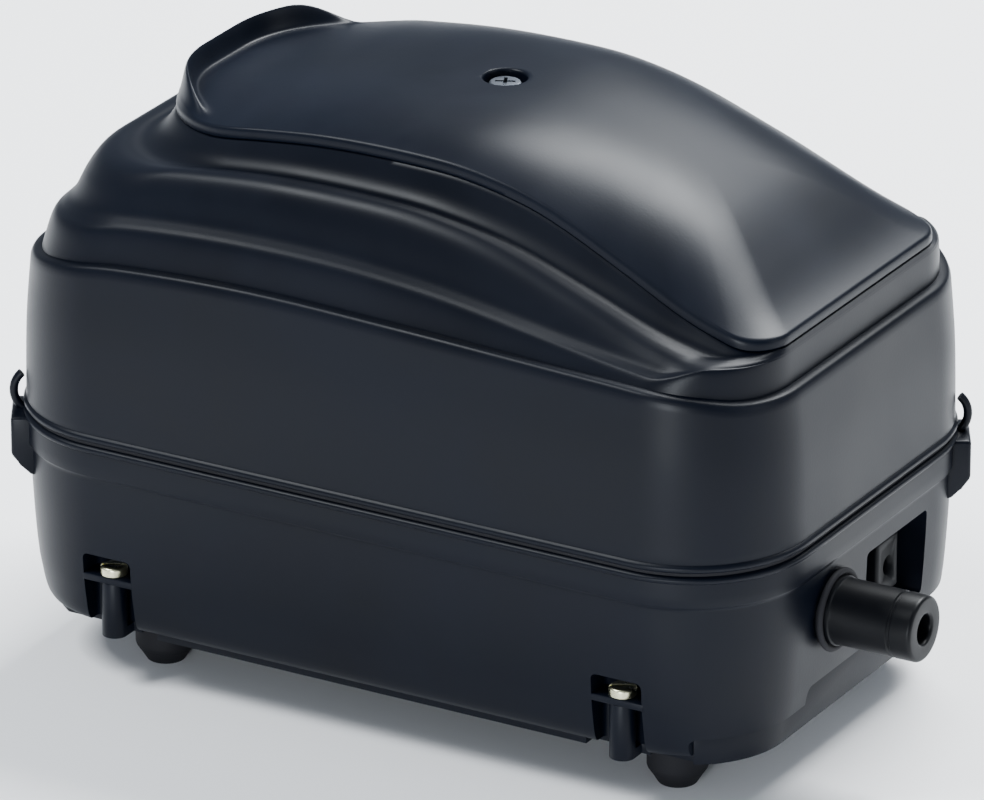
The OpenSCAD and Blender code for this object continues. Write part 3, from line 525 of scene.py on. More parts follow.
# drop of the crease below its middle height: arched over the sides, low at the ends
CREASE_DROP = [(-116, 7), (-106, 5.6), (-92, 2.6), (-74, 0), (-34, -1.8), (12, -0.8), (55, 0.8), (84, 2),
               (98, 3.4), (108, 5.4), (116, 6)]
# rise of the flank from crease to cover, as shares of its width and height
FLUTE = [(0, 0), (0.08, 0.25), (0.16, 0.33), (0.24, 0.41), (0.33, 0.58), (0.43, 0.71), (0.54, 0.77),
         (0.66, 0.785), (0.78, 0.785), (0.9, 0.86), (1, 1)]
CORNER_FLUTE = [(0, 0), (0.1, 0.7), (0.25, 0.84), (0.6, 0.92), (1, 1)]
HEAD_R = 38.0       # plan radius of the cover's head
HEAD_GAP = 26.0     # distance of the head from the upper body's outline
SPINE_IN = 0.3      # inset of the cover's end edge
COVER_R = 12.0      # length of the cover's rounded corners at the outlet end
DECK_GAP = 3.4      # drop from the cover's surface to the deck under it
COVER_GAP = 0.25    # gap between the cover's rim and the deck
COVER_T = 2.4       # thickness of the cover
COVER_GROW = 3.5    # extra half width of the cover at the outlet end
GROW_FROM = 35      # place along the case where it begins to widen
LIP_AT = 0.935      # share of the cover's half width where its lip stands
LIP_SOFT = 0.035    # softness of the lip's two sides
LIP_END = -62       # place along the case where the lip fades
FADE = 16.0         # length over which a shape of the case fades
DECK_HALF = 46.5    # half width of the deck's curve


class CaseShape:
    """Outlines and heights of the case, in millimetres about the case's own middle."""

    def __init__(self, sizes):
        self.r = sizes.corner / MM
        self.wall = sizes.wall / MM
        self.crease = sizes.crease / MM
        self.roof = sizes.roof / MM
        self.flank = sizes.flank / MM
        self.ledge = sizes.ledge / MM
        self.lip = sizes.lip / MM
        self.n_side = sizes.outline_steps
        self.n_arc = self.n_side // 4
        self.n_end = self.n_side // 8

    def outline(self, inset):
        """Half outline from the middle of the +X end round to the middle of the -X end."""
        a, b, r = HALF_L - inset, HALF_W - inset, self.r - inset
        cx, cy = a - r, b - r
        n_end, n_arc, n_side = self.n_end, self.n_arc, self.n_side
        turn = [math.radians(90 * k / n_arc) for k in range(n_arc + 1)]
        return ([(a, cy * k / n_end) for k in range(n_end)]
                + [(cx + r * math.cos(t), cy + r * math.sin(t)) for t in turn]
                + [(lerp(cx, -cx, k / n_side), b) for k in range(1, n_side)]
                + [(-cx - r * math.sin(t), cy + r * math.cos(t)) for t in turn]
                + [(-a, cy * (1 - k / n_end)) for k in range(1, n_end + 1)])

    def spine(self):
        """Half outline of the filter cover, point for point against outline(ledge)."""
        a, b, cy = HALF_L - self.ledge - SPINE_IN, HALF_W - self.ledge, HALF_W - self.r
        w = b - self.flank
        wide, cx, hx = w + COVER_GROW, a - COVER_R, self.ledge + HEAD_GAP - HALF_L + HEAD_R
        n_end, n_arc, n_side = self.n_end, self.n_arc, self.n_side
        points = [(a, cy * k / n_end) for k in range(n_end)]
        for k in range(n_arc + 1):
            t = math.radians(90 * k / n_arc)
            points.append((cx + COVER_R * math.cos(t), cy + (wide - cy) * math.sin(t)))
        for k in range(1, n_side):
            x = lerp(cx, hx, k / n_side)
            points.append((x, w + (wide - w) * ease((x - GROW_FROM) / (cx - GROW_FROM))))
        for k in range(n_arc + 1):
            t = math.radians(90 * k / n_arc)
            points.append((hx - HEAD_R * math.sin(t), w - HEAD_R + HEAD_R * math.cos(t)))
        return points + [(hx - HEAD_R, (w - HEAD_R) * (1 - k / n_end)) for k in range(1, n_end + 1)]

    def mid_z(self, x):
        """Height of the cover's middle line."""
        return self.roof - curve(MID_DROP, x)

    def edge_z(self, p):
        """Height of the cover's edge at a point of its outline."""
        return self.roof - curve(EDGE_DROP, p[0])

    def crease_at(self, p):
        """Height of the crease at a point of the case's outline."""
        return self.crease - curve(CREASE_DROP, p[0])

    def cover_xy(self, p, s):
        """Place on the cover at share s of the way to its outline."""
        return lerp(0.55 * p[0], p[0], s), p[1] * s

    def cover_z(self, p, s, lip=True):
        """Height of the cover there, with or without the raised lip of its head."""
        x, _ = self.cover_xy(p, s)
        z = self.mid_z(x) - (self.mid_z(x) - self.edge_z(p)) * s ** 4
        if lip:
            z += self.lip * ease((LIP_END - x) / FADE) * math.exp(-((s - LIP_AT) / LIP_SOFT) ** 2)
        return z


def full(half):
    """Whole ring from a half outline of (x, y, z), in the frame's place."""
    mirrored = [(x, -y, z) for x, y, z in half[-2:0:-1]]
    return [(x + CASE_X, y, z) for x, y, z in half + mirrored]


def level(shape, inset, z):
    """Flat ring of the case's outline at one height."""
    return full([(x, y, z) for x, y in shape.outline(inset)])


def crease_ring(shape, inset, drop):
    """Ring at one distance under the crease."""
    return full([(x, y, shape.crease_at((x, y)) - drop) for x, y in shape.outline(inset)])


def wall_ring(shape, inset, share):
    """Ring of the hood's wall at a share of the height between the waist and the crease."""
    base = PART_Z + SEAL_T + 2.9
    return full([(x, y, lerp(base, shape.crease_at((x, y)) - 1.6, share)) for x, y in shape.outline(inset)])


def flank_ring(shape, t, drop=0.0):
    """Ring at share t of the way up the flank, from the crease to the cover's edge."""
    points = []
    for p, q in zip(shape.outline(shape.ledge), shape.spine()):
        corner = ease((p[0] - HALF_L + shape.r) / FADE)
        share = lerp(curve(FLUTE, t), curve(CORNER_FLUTE, t), corner)
        top = shape.edge_z(q) - DECK_GAP
        points.append((lerp(p[0], q[0], t), lerp(p[1], q[1], t),
                       lerp(shape.crease_at(p) + 0.2, top, share) - drop))
    return full(points)


def cover_ring(shape, s, drop=0.0, lip=False):
    """Ring at share s of the way from the cover's spine to its edge."""
    return full([(*shape.cover_xy(p, s), shape.cover_z(p, s, lip) - drop) for p in shape.spine()])


def pocket_ring(shape, half_x, half_y, z):
    """Ring round the rectangular filter pocket; z is a height or a function of the place."""
    spine = shape.spine()
    reach = [0.0]
    for a, b in zip(spine, spine[1:]):
        reach.append(reach[-1] + math.dist(a, b))
    span = half_y + 2 * half_x + half_y
    corners = (half_y, half_y + 2 * half_x)
    at = [r / reach[-1] * span for r in reach]
    for c in corners:
        at[min(range(len(at)), key=lambda i: abs(at[i] - c))] = c
    points = []
    for u in at:
        if u <= corners[0]:
            x, y = half_x, u
        elif u <= corners[1]:
            x, y = half_x - (u - corners[0]), half_y
        else:
            x, y = -half_x, span - u
        points.append((x, y, z(x, y) if callable(z) else z))
    return full(points)


# ---------------------------------------------------------------- operators: the case
STATE = {"materials": {}}


def finish_of(slot):
    """Material of a slot."""
    return STATE["materials"][slot]


def settle(obj, body, slot, *nodes):
    """Ride and, where the piece stands for CAD nodes, the replacement. The slot argument is not used."""
    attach(obj, body)
    if nodes:
        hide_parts(*nodes)
    return obj


class PUMP_OT_hood(bpy.types.Operator):
    """Hood: walls, ledge, fluted flank and the pocket that holds the filter tray, as one closed shell"""
    bl_idname = "pump.hood"
    bl_label = "Hood"

    def execute(self, context):
        shape = CaseShape(context.scene.pump_sizes)
        wall, base = shape.wall, PART_Z + SEAL_T
        outer = [(0.5, base), (0.1, base + 0.3), (-0.45, base + 0.55), (-BEAD, base + 0.95),
                 (-BEAD, base + 1.5), (-0.5, base + 1.95), (0.1, base + 2.35), (0.0, base + 2.9)]
        rings = [level(shape, i, z) for i, z in outer]
        walls = [(0, 0), (0.55, 0.5), (0.94, 1.7), (1, 1.95)]
        rings += [wall_ring(shape, curve(walls, k / 24), k / 24) for k in range(1, 25)]
        rings += [crease_ring(shape, i, d)
                  for i, d in ((2.1, 1.3), (2.25, 0.8), (2.6, 0.3), (3.1, 0), (4.2, -0.2))]
        rings += [flank_ring(shape, k / 56) for k in range(57)]
        rings += [cover_ring(shape, s, DECK_GAP) for s in (0.985, 0.97, 0.93, 0.88)]
        px, py = (TRAY[1].x - TRAY[0].x) / 2 + 0.3, (TRAY[1].y - TRAY[0].y) / 2 + 0.3
        floor = TRAY[0].z

        def deck(x, y):
            fall = (shape.mid_z(x) - shape.edge_z((x, y))) * (abs(y) / DECK_HALF) ** 4
            return shape.mid_z(x) - fall - DECK_GAP

        rings += [pocket_ring(shape, px + g, py + g, deck) for g in (3, 1, 0.3)]
        rings += [pocket_ring(shape, px, py, lambda x, y: deck(x, y) - 0.6)]
        rings += [pocket_ring(shape, px, py, z) for z in (floor + 8, floor)]
        rings += [pocket_ring(shape, px - 6, py - 6, z) for z in (floor, floor - wall)]
        rings += [pocket_ring(shape, px + wall, py + wall, z) for z in (floor - wall, floor + 5)]
        rings += [cover_ring(shape, s, DECK_GAP + wall) for s in (0.9, 0.94)]
        for k in range(12, 0, -1):
            rings.append([(CASE_X + (x - CASE_X) * (1 - wall / HALF_L), y * (1 - wall / HALF_W), z)
                          for x, y, z in flank_ring(shape, k / 14, wall + 0.8)])
        rings += [crease_ring(shape, wall + i, d) for i, d in ((4.2, wall), (2.4, wall + 1.5), (1.7, 8))]
        rings += [level(shape, wall + i, base + d) for i, d in ((0.5, 28.6), (0.1, 6), (0.1, 0))]
        bm = bmesh.new()
        ring_solid(bm, rings, closed=True)
        hood = mesh_object("hood_shell", bm, finish_of("case_plastic"), sharp=40)
        settle(hood, "hood", "case_plastic", "hood")
        return {"FINISHED"}


class PUMP_OT_filter_cover(bpy.types.Operator):
    """Filter cover with its raised head lip, soft edges and the recess for its screw"""
    bl_idname = "pump.filter_cover"
    bl_label = "Filter cover"

    def execute(self, context):
        shape = CaseShape(context.scene.pump_sizes)
        rim = DECK_GAP - COVER_GAP
        under = [cover_ring(shape, s, COVER_T) for s in (0.0, 0.2, 0.4, 0.6, 0.75, 0.86, 0.92, 0.945)]
        under += [cover_ring(shape, s, rim) for s in (0.962, 0.985)]
        edge = [cover_ring(shape, s, d) for s, d in ((0.995, rim - 0.15), (1.0, rim - 0.6), (1.0, 1.5),
                                                     (0.9995, 0.9), (0.997, 0.4), (0.992, 0.12))]
        top = [cover_ring(shape, 0.985 - 0.125 * k / 30, 0, lip=True) for k in range(31)]
        top += [cover_ring(shape, 0.86 * (1 - k / 44), 0, lip=True) for k in range(1, 45)]
        bm = bmesh.new()
        ring_solid(bm, under + edge + top, closed=False)
        grey = finish_of("cover_plastic")
        cover = mesh_object("filter_cover_shell", bm, grey, sharp=50)
        place, roof, seat = (SCREW_X, 0.0, 0), shape.roof, SCREW[1].z - HEAD_H
        boss = [(0, seat - 3.4), (7.6, seat - 3.4), (8, seat - 3), (8, roof - 2.0), (0, roof - 2.0)]
        cut(cover, lathe("boss_tool", boss, place, grey), "UNION")
        well = [(0, seat)] + arc(5.4, seat + 0.5, 0.5, -90, 0, 4) + arc(6.9, roof - 1.0, 1.0, 180, 90, 6)
        well += [(9, roof + 0.4), (9, roof + 3), (0, roof + 3)]
        cut(cover, lathe("well_tool", well, place, grey))
        cut(cover, lathe("bore_tool", rod(2.3, seat - 6, seat + 2), place, grey, steps=32))
        smooth(cover, 38)
        settle(cover, "filter_cover", "cover_plastic", "filter_cover")
        return {"FINISHED"}


def rounded_tool(name, x0, x1, y0, y1, z0, z1, radius):
    """Rounded box that cuts the housing."""
    return block(name, x0, x1, y0, y1, z0, z1, finish_of("case_plastic"), radius, 4)


POCKET_W = 15.0
POCKET_D = 10.0     # depth of a side pocket from the waist
POCKET_TOP = 21.0   # height of a side pocket above the housing's bottom edge
RAISED_L = 20.0     # length of the raised bottom edge at the outlet end
NOZZLE_Y = (NOZZLE[0].y + NOZZLE[1].y) / 2
COLLAR_R = (NOZZLE[1].y - NOZZLE[0].y) / 2
NOZZLE_Z = NOZZLE[1].z - COLLAR_R
NOZZLE_R = COLLAR_R - 0.5
GLAND_Y = (GLAND[0].y + GLAND[1].y) / 2
GLAND_BORE = 2.8
RECESS_Y = (-1.3, 32.6)     # cable recess in the outlet end: its sides, its heights and its depth
RECESS_Z = (31.0, 55.5)
RECESS_D = 12.0


def pockets():
    """Middle of each side pocket along the pump, with the side of the case it is on."""
    mid = (POSTS[0].x + POSTS[1].x) / 2
    off = (POSTS[1].x - POSTS[0].x) / 2 - POST_HEAD_R
    return [(mid + sx * off, sy) for sx in (-1, 1) for sy in (-1, 1)]


class PUMP_OT_lower_housing(bpy.types.Operator):
    """Lower housing: tub with waist bead, step line, side screw pockets, cable recess and nozzle hole"""
    bl_idname = "pump.lower_housing"
    bl_label = "Lower housing"

    def execute(self, context):
        shape = CaseShape(context.scene.pump_sizes)
        wall, top = shape.wall, PART_Z - SEAL_T
        outer = [(0.5, top), (0.1, top - 0.25), (-0.45, top - 0.5), (-BEAD, top - 0.9), (-BEAD, top - 1.4),
                 (-0.5, top - 1.8), (0.05, top - 2.2), (0.0, top - 3.2), (0, top - 6), (0, top - 8.6),
                 (0.15, top - 9.0), (0.75, top - 9.5), (0.95, top - 10.1)]
        body = [(FLOOR_Z + 4.5, 4.0), (FLOOR_Z + 13, 2.6), (PART_Z - 24, 1.4), (PART_Z - 10.6, 0.95)]
        low, high = FLOOR_Z + 4.5, top - 10.6
        heights = [high - (high - low) * k / 16 for k in range(17)]
        outer += [(curve(body, z), z) for z in heights]
        outer += [(4.35, FLOOR_Z + 3), (4.8, FLOOR_Z + 1.6), (5.4, FLOOR_Z + 0.6), (6.2, FLOOR_Z)]
        inner = [(6.2 + wall, FLOOR_Z), (4.8 + wall, FLOOR_Z + 3), (2.6 + wall, FLOOR_Z + 13),
                 (1.4 + wall, PART_Z - 24), (0.95 + wall, top - 8), (0.95 + wall, top)]
        bm = bmesh.new()
        ring_solid(bm, [level(shape, i, z) for i, z in outer + inner], closed=True)
        case = finish_of("case_plastic")
        tub = mesh_object("lower_housing_shell", bm, case, sharp=40)
        limit = bmesh.new()
        capped(limit, [level(shape, i + 0.6, z) for i, z in outer if z < top - 10])
        limit = mesh_object("limit", limit, case)
        back = HALF_W - POCKET_D
        for x, sy in pockets():
            y = sorted((sy * (back - 2), sy * (HALF_W + 2)))
            walls = block("wall_tool", x - POCKET_W / 2 - 2, x + POCKET_W / 2 + 2, *y,
                          FLOOR_Z - 1, FLOOR_Z + POCKET_TOP + 2, case)
            cut(walls, limit, "INTERSECT", keep=True)
            cut(tub, walls, "UNION")
        end = CASE_X + HALF_L
        walls = block("recess_wall_tool", end - RECESS_D - 2, end + 2, RECESS_Y[0] - 2, RECESS_Y[1] + 2,
                      RECESS_Z[0] - 2, RECESS_Z[1] + 2, case)
        cut(walls, limit, "INTERSECT")
        cut(tub, walls, "UNION")
        for x, sy in pockets():
            y = sorted((sy * back, sy * (HALF_W + 9)))
            cut(tub, rounded_tool("pocket_tool", x - POCKET_W / 2, x + POCKET_W / 2, *y,
                                  FLOOR_Z - 6, FLOOR_Z + POCKET_TOP, 1.6))
        cut(tub, rounded_tool("recess_tool", end - RECESS_D, end + 9, *RECESS_Y, *RECESS_Z, 1.4))
        for side, rise in ((-HALF_W - 9, 5.5), (-30, 10.5)):
            cut(tub, rounded_tool("raise_tool", end - RAISED_L, end + 9, side, HALF_W + 9,
                                  -20, FLOOR_Z + rise, 2.4))
        hole = rod(COLLAR_R + 0.3, end - 14, end + 9)
        cut(tub, lathe("nozzle_tool", hole, (0, NOZZLE_Y, NOZZLE_Z), case, axis="X"))
        hole = rod(4.6, end - RECESS_D - 9, end - 4)
        cut(tub, lathe("gland_tool", hole, (0, GLAND_Y, GLAND_Z), case, axis="X"))
        smooth(tub, 35)
        settle(tub, "case", "case_plastic", "lower_housing")
        self.lips(back, case)
        return {"FINISHED"}

    def lips(self, back, case):
        """The thin lips inside the pockets that the screws clamp."""
        z = POSTS[1].z - HEAD_H
        for i, (x, sy) in enumerate(sorted(pockets(), key=lambda place: place[1])):
            y = sorted((sy * (back - 0.5), sy * (back + 7.5)))
            lip = block(f"pocket_lip_{i + 1}", x - POCKET_W / 2 - 0.4, x + POCKET_W / 2 + 0.4, *y,
                        z - 2, z, case, 0.35, 2)
            cut(lip, lathe("shank_tool", rod(2.2, z - 5, z + 3), (x, sy * (HALF_W - 6), 0), case, steps=40))
            smooth(lip, 35)
            settle(lip, "case", "case_plastic")


EYE_R = 6.6         # radius of a corner eye
EYE_WIRE = 1.2      # radius of its bar
EYE_IN = 3.3        # inset of its centre from the corner's outline
EYE_RISE = 3.3      # height of its centre above the waist
EYE_FROM = -60      # start of its arc, in degrees
EYE_ARC = 108       # length of its arc, in degrees
EYE_TURN = 30       # turn of a corner's lug from the pump's length, in degrees
EYE_STEPS = 28


class PUMP_OT_corner_eyes(bpy.types.Operator):
    """Two bevelled corner lugs, each with a part-ring eye"""
    bl_idname = "pump.corner_eyes"
    bl_label = "Corner eyes"
    reach: FloatProperty(name="Reach", description="Stand-out of a lug from the corner",
                         default=4 * MM, unit="LENGTH")
    width: FloatProperty(name="Width", description="Width of a lug", default=16 * MM, unit="LENGTH")

    def execute(self, context):
        r = context.scene.pump_sizes.corner / MM
        reach, half = r + self.reach / MM, self.width / MM / 2
        case = finish_of("case_plastic")
        outline = [(r - 3.2, PART_Z - 18.5), (r - 1.2, PART_Z - 18.5), (r + 1.6, PART_Z - 15.4),
                   (reach, PART_Z - 12.6), (reach, PART_Z - 1.6), (r - 3.2, PART_Z - 1.6)]
        for name, turn in (("corner_eye_back", 0), ("corner_eye_front", 180)):
            place = (Matrix.Translation((CASE_X, 0, 0)) @ Matrix.Rotation(math.radians(turn), 4, "Z")
                     @ Matrix.Translation((HALF_L - r, HALF_W - r, 0))
                     @ Matrix.Rotation(math.radians(EYE_TURN), 4, "Z"))
            bm = bmesh.new()
            capped(bm, [[(x, y, z) for x, z in outline] for y in (-half, half)])
            bmesh.ops.bevel(bm, geom=bm.edges, offset=0.9, segments=3, profile=0.5, affect="EDGES")
            rings = []
            for k in range(EYE_STEPS + 1):
                t = math.radians(EYE_FROM + EYE_ARC * k / EYE_STEPS)
                rings.append([(r - EYE_IN + (EYE_R + EYE_WIRE * math.cos(a)) * math.cos(t),
                               EYE_WIRE * math.sin(a),
                               PART_Z + EYE_RISE + (EYE_R + EYE_WIRE * math.cos(a)) * math.sin(t))
                              for a in (math.tau * j / 20 for j in range(20))])
            capped(bm, rings)
            bmesh.ops.transform(bm, matrix=place, verts=bm.verts)
            settle(mesh_object(name, bm, case, sharp=45), "case", "case_plastic")
        return {"FINISHED"}


NOZZLE_BORE = 4.0
SPIGOT_IN = 14.5        # distance of the hose spigot from the case's end
SPIGOT_R = 3.5
SPIGOT_BORE = 2.3


class PUMP_OT_outlet(bpy.types.Operator):
    """Outlet nozzle with a round groove and a soft tip, its spigot and seal ring, and the cable gland"""
    bl_idname = "pump.outlet"
    bl_label = "Outlet and gland"

    def execute(self, context):
        end, r = CASE_X + HALF_L, NOZZLE_R
        tip, inner = NOZZLE[1].x, NOZZLE[0].x
        black = finish_of("nozzle_plastic")
        profile = [(0, inner + 1.6), (NOZZLE_BORE, inner + 1.6)]
        profile += arc(NOZZLE_BORE + 0.9, tip - 0.9, 0.9, 180, 90, 5)
        profile += [(r - 2.2, tip - 0.02)] + arc(r - 1.1, tip - 1.1, 1.1, 90, 0, 6)
        profile += [(r, tip - 6), (r - 0.35, tip - 6.3), (r - 0.35, tip - 7.0), (r, tip - 7.3)]
        profile += [(r, end + 2.9), (r + 0.1, end + 2.2), (COLLAR_R, end + 1.9), (COLLAR_R, inner + 0.5),
                    (COLLAR_R - 0.5, inner), (0, inner)]
        place = (0, NOZZLE_Y, NOZZLE_Z)
        nozzle = lathe("nozzle", profile, place, black, axis="X", steps=96, sharp=40)
        low, high = NOZZLE[0].z, NOZZLE_Z - r + 1.5
        profile = [(SPIGOT_BORE, low), (3.1, low), (SPIGOT_R, low + 0.5), (SPIGOT_R, high),
                   (SPIGOT_BORE, high), (SPIGOT_BORE, low)]
        spigot = lathe("nozzle_spigot", profile, (end - SPIGOT_IN, NOZZLE_Y, 0), black, steps=40)
        settle(nozzle, "case", "nozzle_plastic", "outlet_nozzle")
        settle(spigot, "case", "nozzle_plastic")
        profile = arc(COLLAR_R + 0.95, (RING[0].x + RING[1].x) / 2, 0.9, 0, 360, 20)
        ring = lathe("nozzle_seal_ring", profile, place, finish_of("black_rubber"), axis="X", steps=96)
        settle(ring, "case", "black_rubber", "nozzle_seal")
        self.gland(black)
        return {"FINISHED"}

    def gland(self, black):
        """The cable gland: a soft square block with a round bore, and its neck."""
        lo, hi = GLAND
        body = block("gland_body", lo.x + 5, hi.x, lo.y, hi.y, lo.z, hi.z, black, 1.0)
        place = (0, GLAND_Y, GLAND_Z)
        cut(body, lathe("gland_tool", rod(GLAND_BORE, lo.x - 1, hi.x + 1), place, black, axis="X", steps=40))
        profile = [(GLAND_BORE, lo.x), (4.2, lo.x), (4.5, lo.x + 0.4), (4.5, lo.x + 5.5),
                   (GLAND_BORE, lo.x + 5.5), (GLAND_BORE, lo.x)]
        neck = lathe("gland_neck", profile, place, black, axis="X", steps=48)
        settle(body, "case", "nozzle_plastic", "cable_gland")
        settle(neck, "case", "nozzle_plastic")


# ---------------------------------------------------------------- geometry node trees
def geometry_tree(name, inputs):
    """Empty geometry node tree with the named inputs {name: (socket type, default)}."""
    tree = bpy.data.node_groups.new(name, "GeometryNodeTree")
    tree.interface.new_socket("Geometry", in_out="INPUT", socket_type="NodeSocketGeometry")
    for key, (kind, default) in inputs.items():
        socket = tree.interface.new_socket(key, in_out="INPUT", socket_type=kind)
        if default is not None:
            socket.default_value = default
    tree.interface.new_socket("Geometry", in_out="OUTPUT", socket_type="NodeSocketGeometry")
    return tree, node_at(tree, "NodeGroupInput", -800, 0), node_at(tree, "NodeGroupOutput", 700, 0)


def finish_tree(tree, src, out, points):
    """Instances the piece on the points, realizes them, sets the material and ends the tree."""
    place = node_at(tree, "GeometryNodeInstanceOnPoints", 0, 0)
    real = node_at(tree, "GeometryNodeRealizeInstances", 220, 0)
    paint = node_at(tree, "GeometryNodeSetMaterial", 440, 0)
    tree.links.new(points, place.inputs["Points"])
    tree.links.new(src.outputs["Geometry"], place.inputs["Instance"])
    tree.links.new(place.outputs["Instances"], real.inputs["Geometry"])
    tree.links.new(real.outputs["Geometry"], paint.inputs["Geometry"])
    tree.links.new(src.outputs["Material"], paint.inputs["Material"])
    tree.links.new(paint.outputs["Geometry"], out.inputs["Geometry"])
    return tree


def grid_tree():
    """Copies of the piece on a rectangle of points round a centre."""
    tree, src, out = geometry_tree("PieceGrid", {
        "Count X": ("NodeSocketInt", 2), "Count Y": ("NodeSocketInt", 2),
        "Size X": ("NodeSocketFloat", 0.1), "Size Y": ("NodeSocketFloat", 0.1),
        "Centre": ("NodeSocketVector", (0, 0, 0)), "Material": ("NodeSocketMaterial", None)})
    grid = node_at(tree, "GeometryNodeMeshGrid", -500, 0)
    move = node_at(tree, "GeometryNodeTransform", -250, 0)
    for key, name in (("Vertices X", "Count X"), ("Vertices Y", "Count Y"),
                      ("Size X", "Size X"), ("Size Y", "Size Y")):
        tree.links.new(src.outputs[name], grid.inputs[key])
    tree.links.new(grid.outputs["Mesh"], move.inputs["Geometry"])
    tree.links.new(src.outputs["Centre"], move.inputs["Translation"])
    return finish_tree(tree, src, out, move.outputs["Geometry"])


def row_tree():
    """Copies of the piece along a straight row."""
    tree, src, out = geometry_tree("PieceRow", {
        "Count": ("NodeSocketInt", 5), "Start": ("NodeSocketVector", (0, 0, 0)),
        "Step": ("NodeSocketVector", (0, 0, 0.001)), "Material": ("NodeSocketMaterial", None)})
    line = node_at(tree, "GeometryNodeMeshLine", -400, 0)
    for key, name in (("Count", "Count"), ("Start Location", "Start"), ("Offset", "Step")):
        tree.links.new(src.outputs[name], line.inputs[key])
    return finish_tree(tree, src, out, line.outputs["Mesh"])


def repeat(obj, tree_name, **values):
    """Puts a node tree on the object with its inputs set by identifier, then keeps the plain mesh."""
    mod = obj.modifiers.new("Repeat", "NODES")
    mod.node_group = bpy.data.node_groups[tree_name]
    for item in mod.node_group.interface.items_tree:
        key = item.name.replace(" ", "_")
        if item.in_out == "INPUT" and key in values:
            mod[item.identifier] = values[key]
    baked(obj)
    return obj


# ---------------------------------------------------------------- operators: hardware
def screw_mesh(name, material, head_r, head_h, shank_r, shank_l, slots=1, steps=48):
    """Slotted or cross-cut screw, head upwards, with the head's underside at the origin."""
    soft = head_h * 0.28
    profile = [(0, -shank_l), (shank_r - 0.5, -shank_l), (shank_r, -shank_l + 0.6), (shank_r, 0),
               (head_r - 0.25, 0), (head_r, 0.25)]
    profile += arc(head_r - soft, head_h - soft, soft, 0, 90, 6)
    profile += [(head_r * 0.5, head_h + 0.08), (0, head_h + 0.1)]
    screw = lathe(name, profile, (0, 0, 0), material, steps=steps, sharp=40)
    reach = head_r * (0.62 if slots > 1 else 1.1)
    for k in range(slots):
        tool = block("slot_tool", -reach, reach, -0.5, 0.5, head_h - head_h * 0.45, head_h + 2, material)
        tool.data.transform(Matrix.Rotation(math.radians(90 * k + 25), 4, "Z"))
        cut(screw, tool)
    smooth(screw, 40)
    return screw


class PUMP_OT_hardware(bpy.types.Operator):
    """Screws of the case and the filter cover, and the rubber feet, repeated by geometry nodes"""
    bl_idname = "pump.hardware"
    bl_label = "Screws and feet"

    def execute(self, context):
        mid = (POSTS[0].x + POSTS[1].x) / 2
        brass = finish_of("brass_screw")
        screw = screw_mesh("pocket_screw_set", brass, POST_HEAD_R, HEAD_H, SHANK_R, SHANK_L)
        repeat(screw, "PieceGrid", Size_X=(POSTS[1].x - POSTS[0].x - 2 * POST_HEAD_R) * MM,
               Size_Y=(POSTS[1].y - POSTS[0].y - 2 * POST_HEAD_R) * MM,
               Centre=(mid * MM, 0, (POSTS[1].z - HEAD_H) * MM), Material=brass)
        settle(screw, "case", "brass_screw", "pocket_screws")
        black = finish_of("cover_screw_steel")
        seat = SCREW[1].z - HEAD_H
        cover_screw = screw_mesh("cover_screw", black, COVER_HEAD_R, HEAD_H, SHANK_R, seat - SCREW[0].z, slots=2)
        cover_screw.data.transform(Matrix.Translation((SCREW_X * MM, 0, seat * MM)))
        settle(cover_screw, "cover_screw", "cover_screw_steel", "filter_cover_screw")
        self.feet()
        return {"FINISHED"}

    def feet(self):
        """The rubber feet, each with a dimple below and a groove under the base plate."""
        r, top = FOOT_R, FEET[1].z
        rubber = finish_of("black_rubber")
        profile = [(0, 1.0), (2.4, 1.0), (2.9, 0.6)] + arc(3.5, 0.5, 0.5, 180, 270, 3)
        profile += arc(r - 3.4, 0.6, 0.6, -90, -30, 4) + arc(r - 1.4, 3.9, 0.7, -60, -10, 3)
        profile += [(r - 0.25, 4.4)] + arc(r - 0.6, 5.2, 0.6, -20, 0, 2)
        profile += [(r, top - 2.2), (r - 0.35, top - 1.9), (r - 0.35, top - 1.5), (r, top - 1.2)]
        profile += arc(r - 0.7, top - 0.7, 0.7, 0, 90, 4) + [(0, top)]
        foot = lathe("rubber_foot_set", profile, (0, 0, 0), rubber, steps=56, sharp=50)
        repeat(foot, "PieceGrid", Size_X=(FEET[1].x - FEET[0].x - 2 * r) * MM,
               Size_Y=(FEET[1].y - FEET[0].y - 2 * r) * MM,
               Centre=((FEET[0].x + FEET[1].x) / 2 * MM, 0, 0), Material=rubber)
        settle(foot, "case", "black_rubber", "rubber_feet")


RIB_COUNT = 4
RIB_FIRST = 1.2     # place of the first rib across the pump
RIB_STEP = 3.2


class PUMP_OT_recess_ribs(bpy.types.Operator):
    """Upright ribs on the back wall of the cable recess"""
    bl_idname = "pump.recess_ribs"
    bl_label = "Recess ribs"

    def execute(self, context):
        case = finish_of("case_plastic")
        back = CASE_X + HALF_L - RECESS_D
        rib = block("recess_ribs", back - 0.2, back + 1.8, -0.6, 0.6,
                    RECESS_Z[0] + 0.3, RECESS_Z[1] - 0.3, case, 0.35, 2)
        repeat(rib, "PieceRow", Count=RIB_COUNT, Start=(0, RIB_FIRST * MM, 0), Step=(0, RIB_STEP * MM, 0),
               Material=case)
        settle(rib, "case", "case_plastic")
        return {"FINISHED"}


# ---------------------------------------------------------------- operators: the drive
LEG_HALF = 7.0      # half width of a core's middle leg
SLOT_W = 10.0       # width of the slot beside it
SLOT_D = 26.0       # depth of the slot from the magnets' side
CORE_D = 36.0       # depth of the whole core
SHEETS = 24
COIL_R = 4.0        # corner radius of a coil


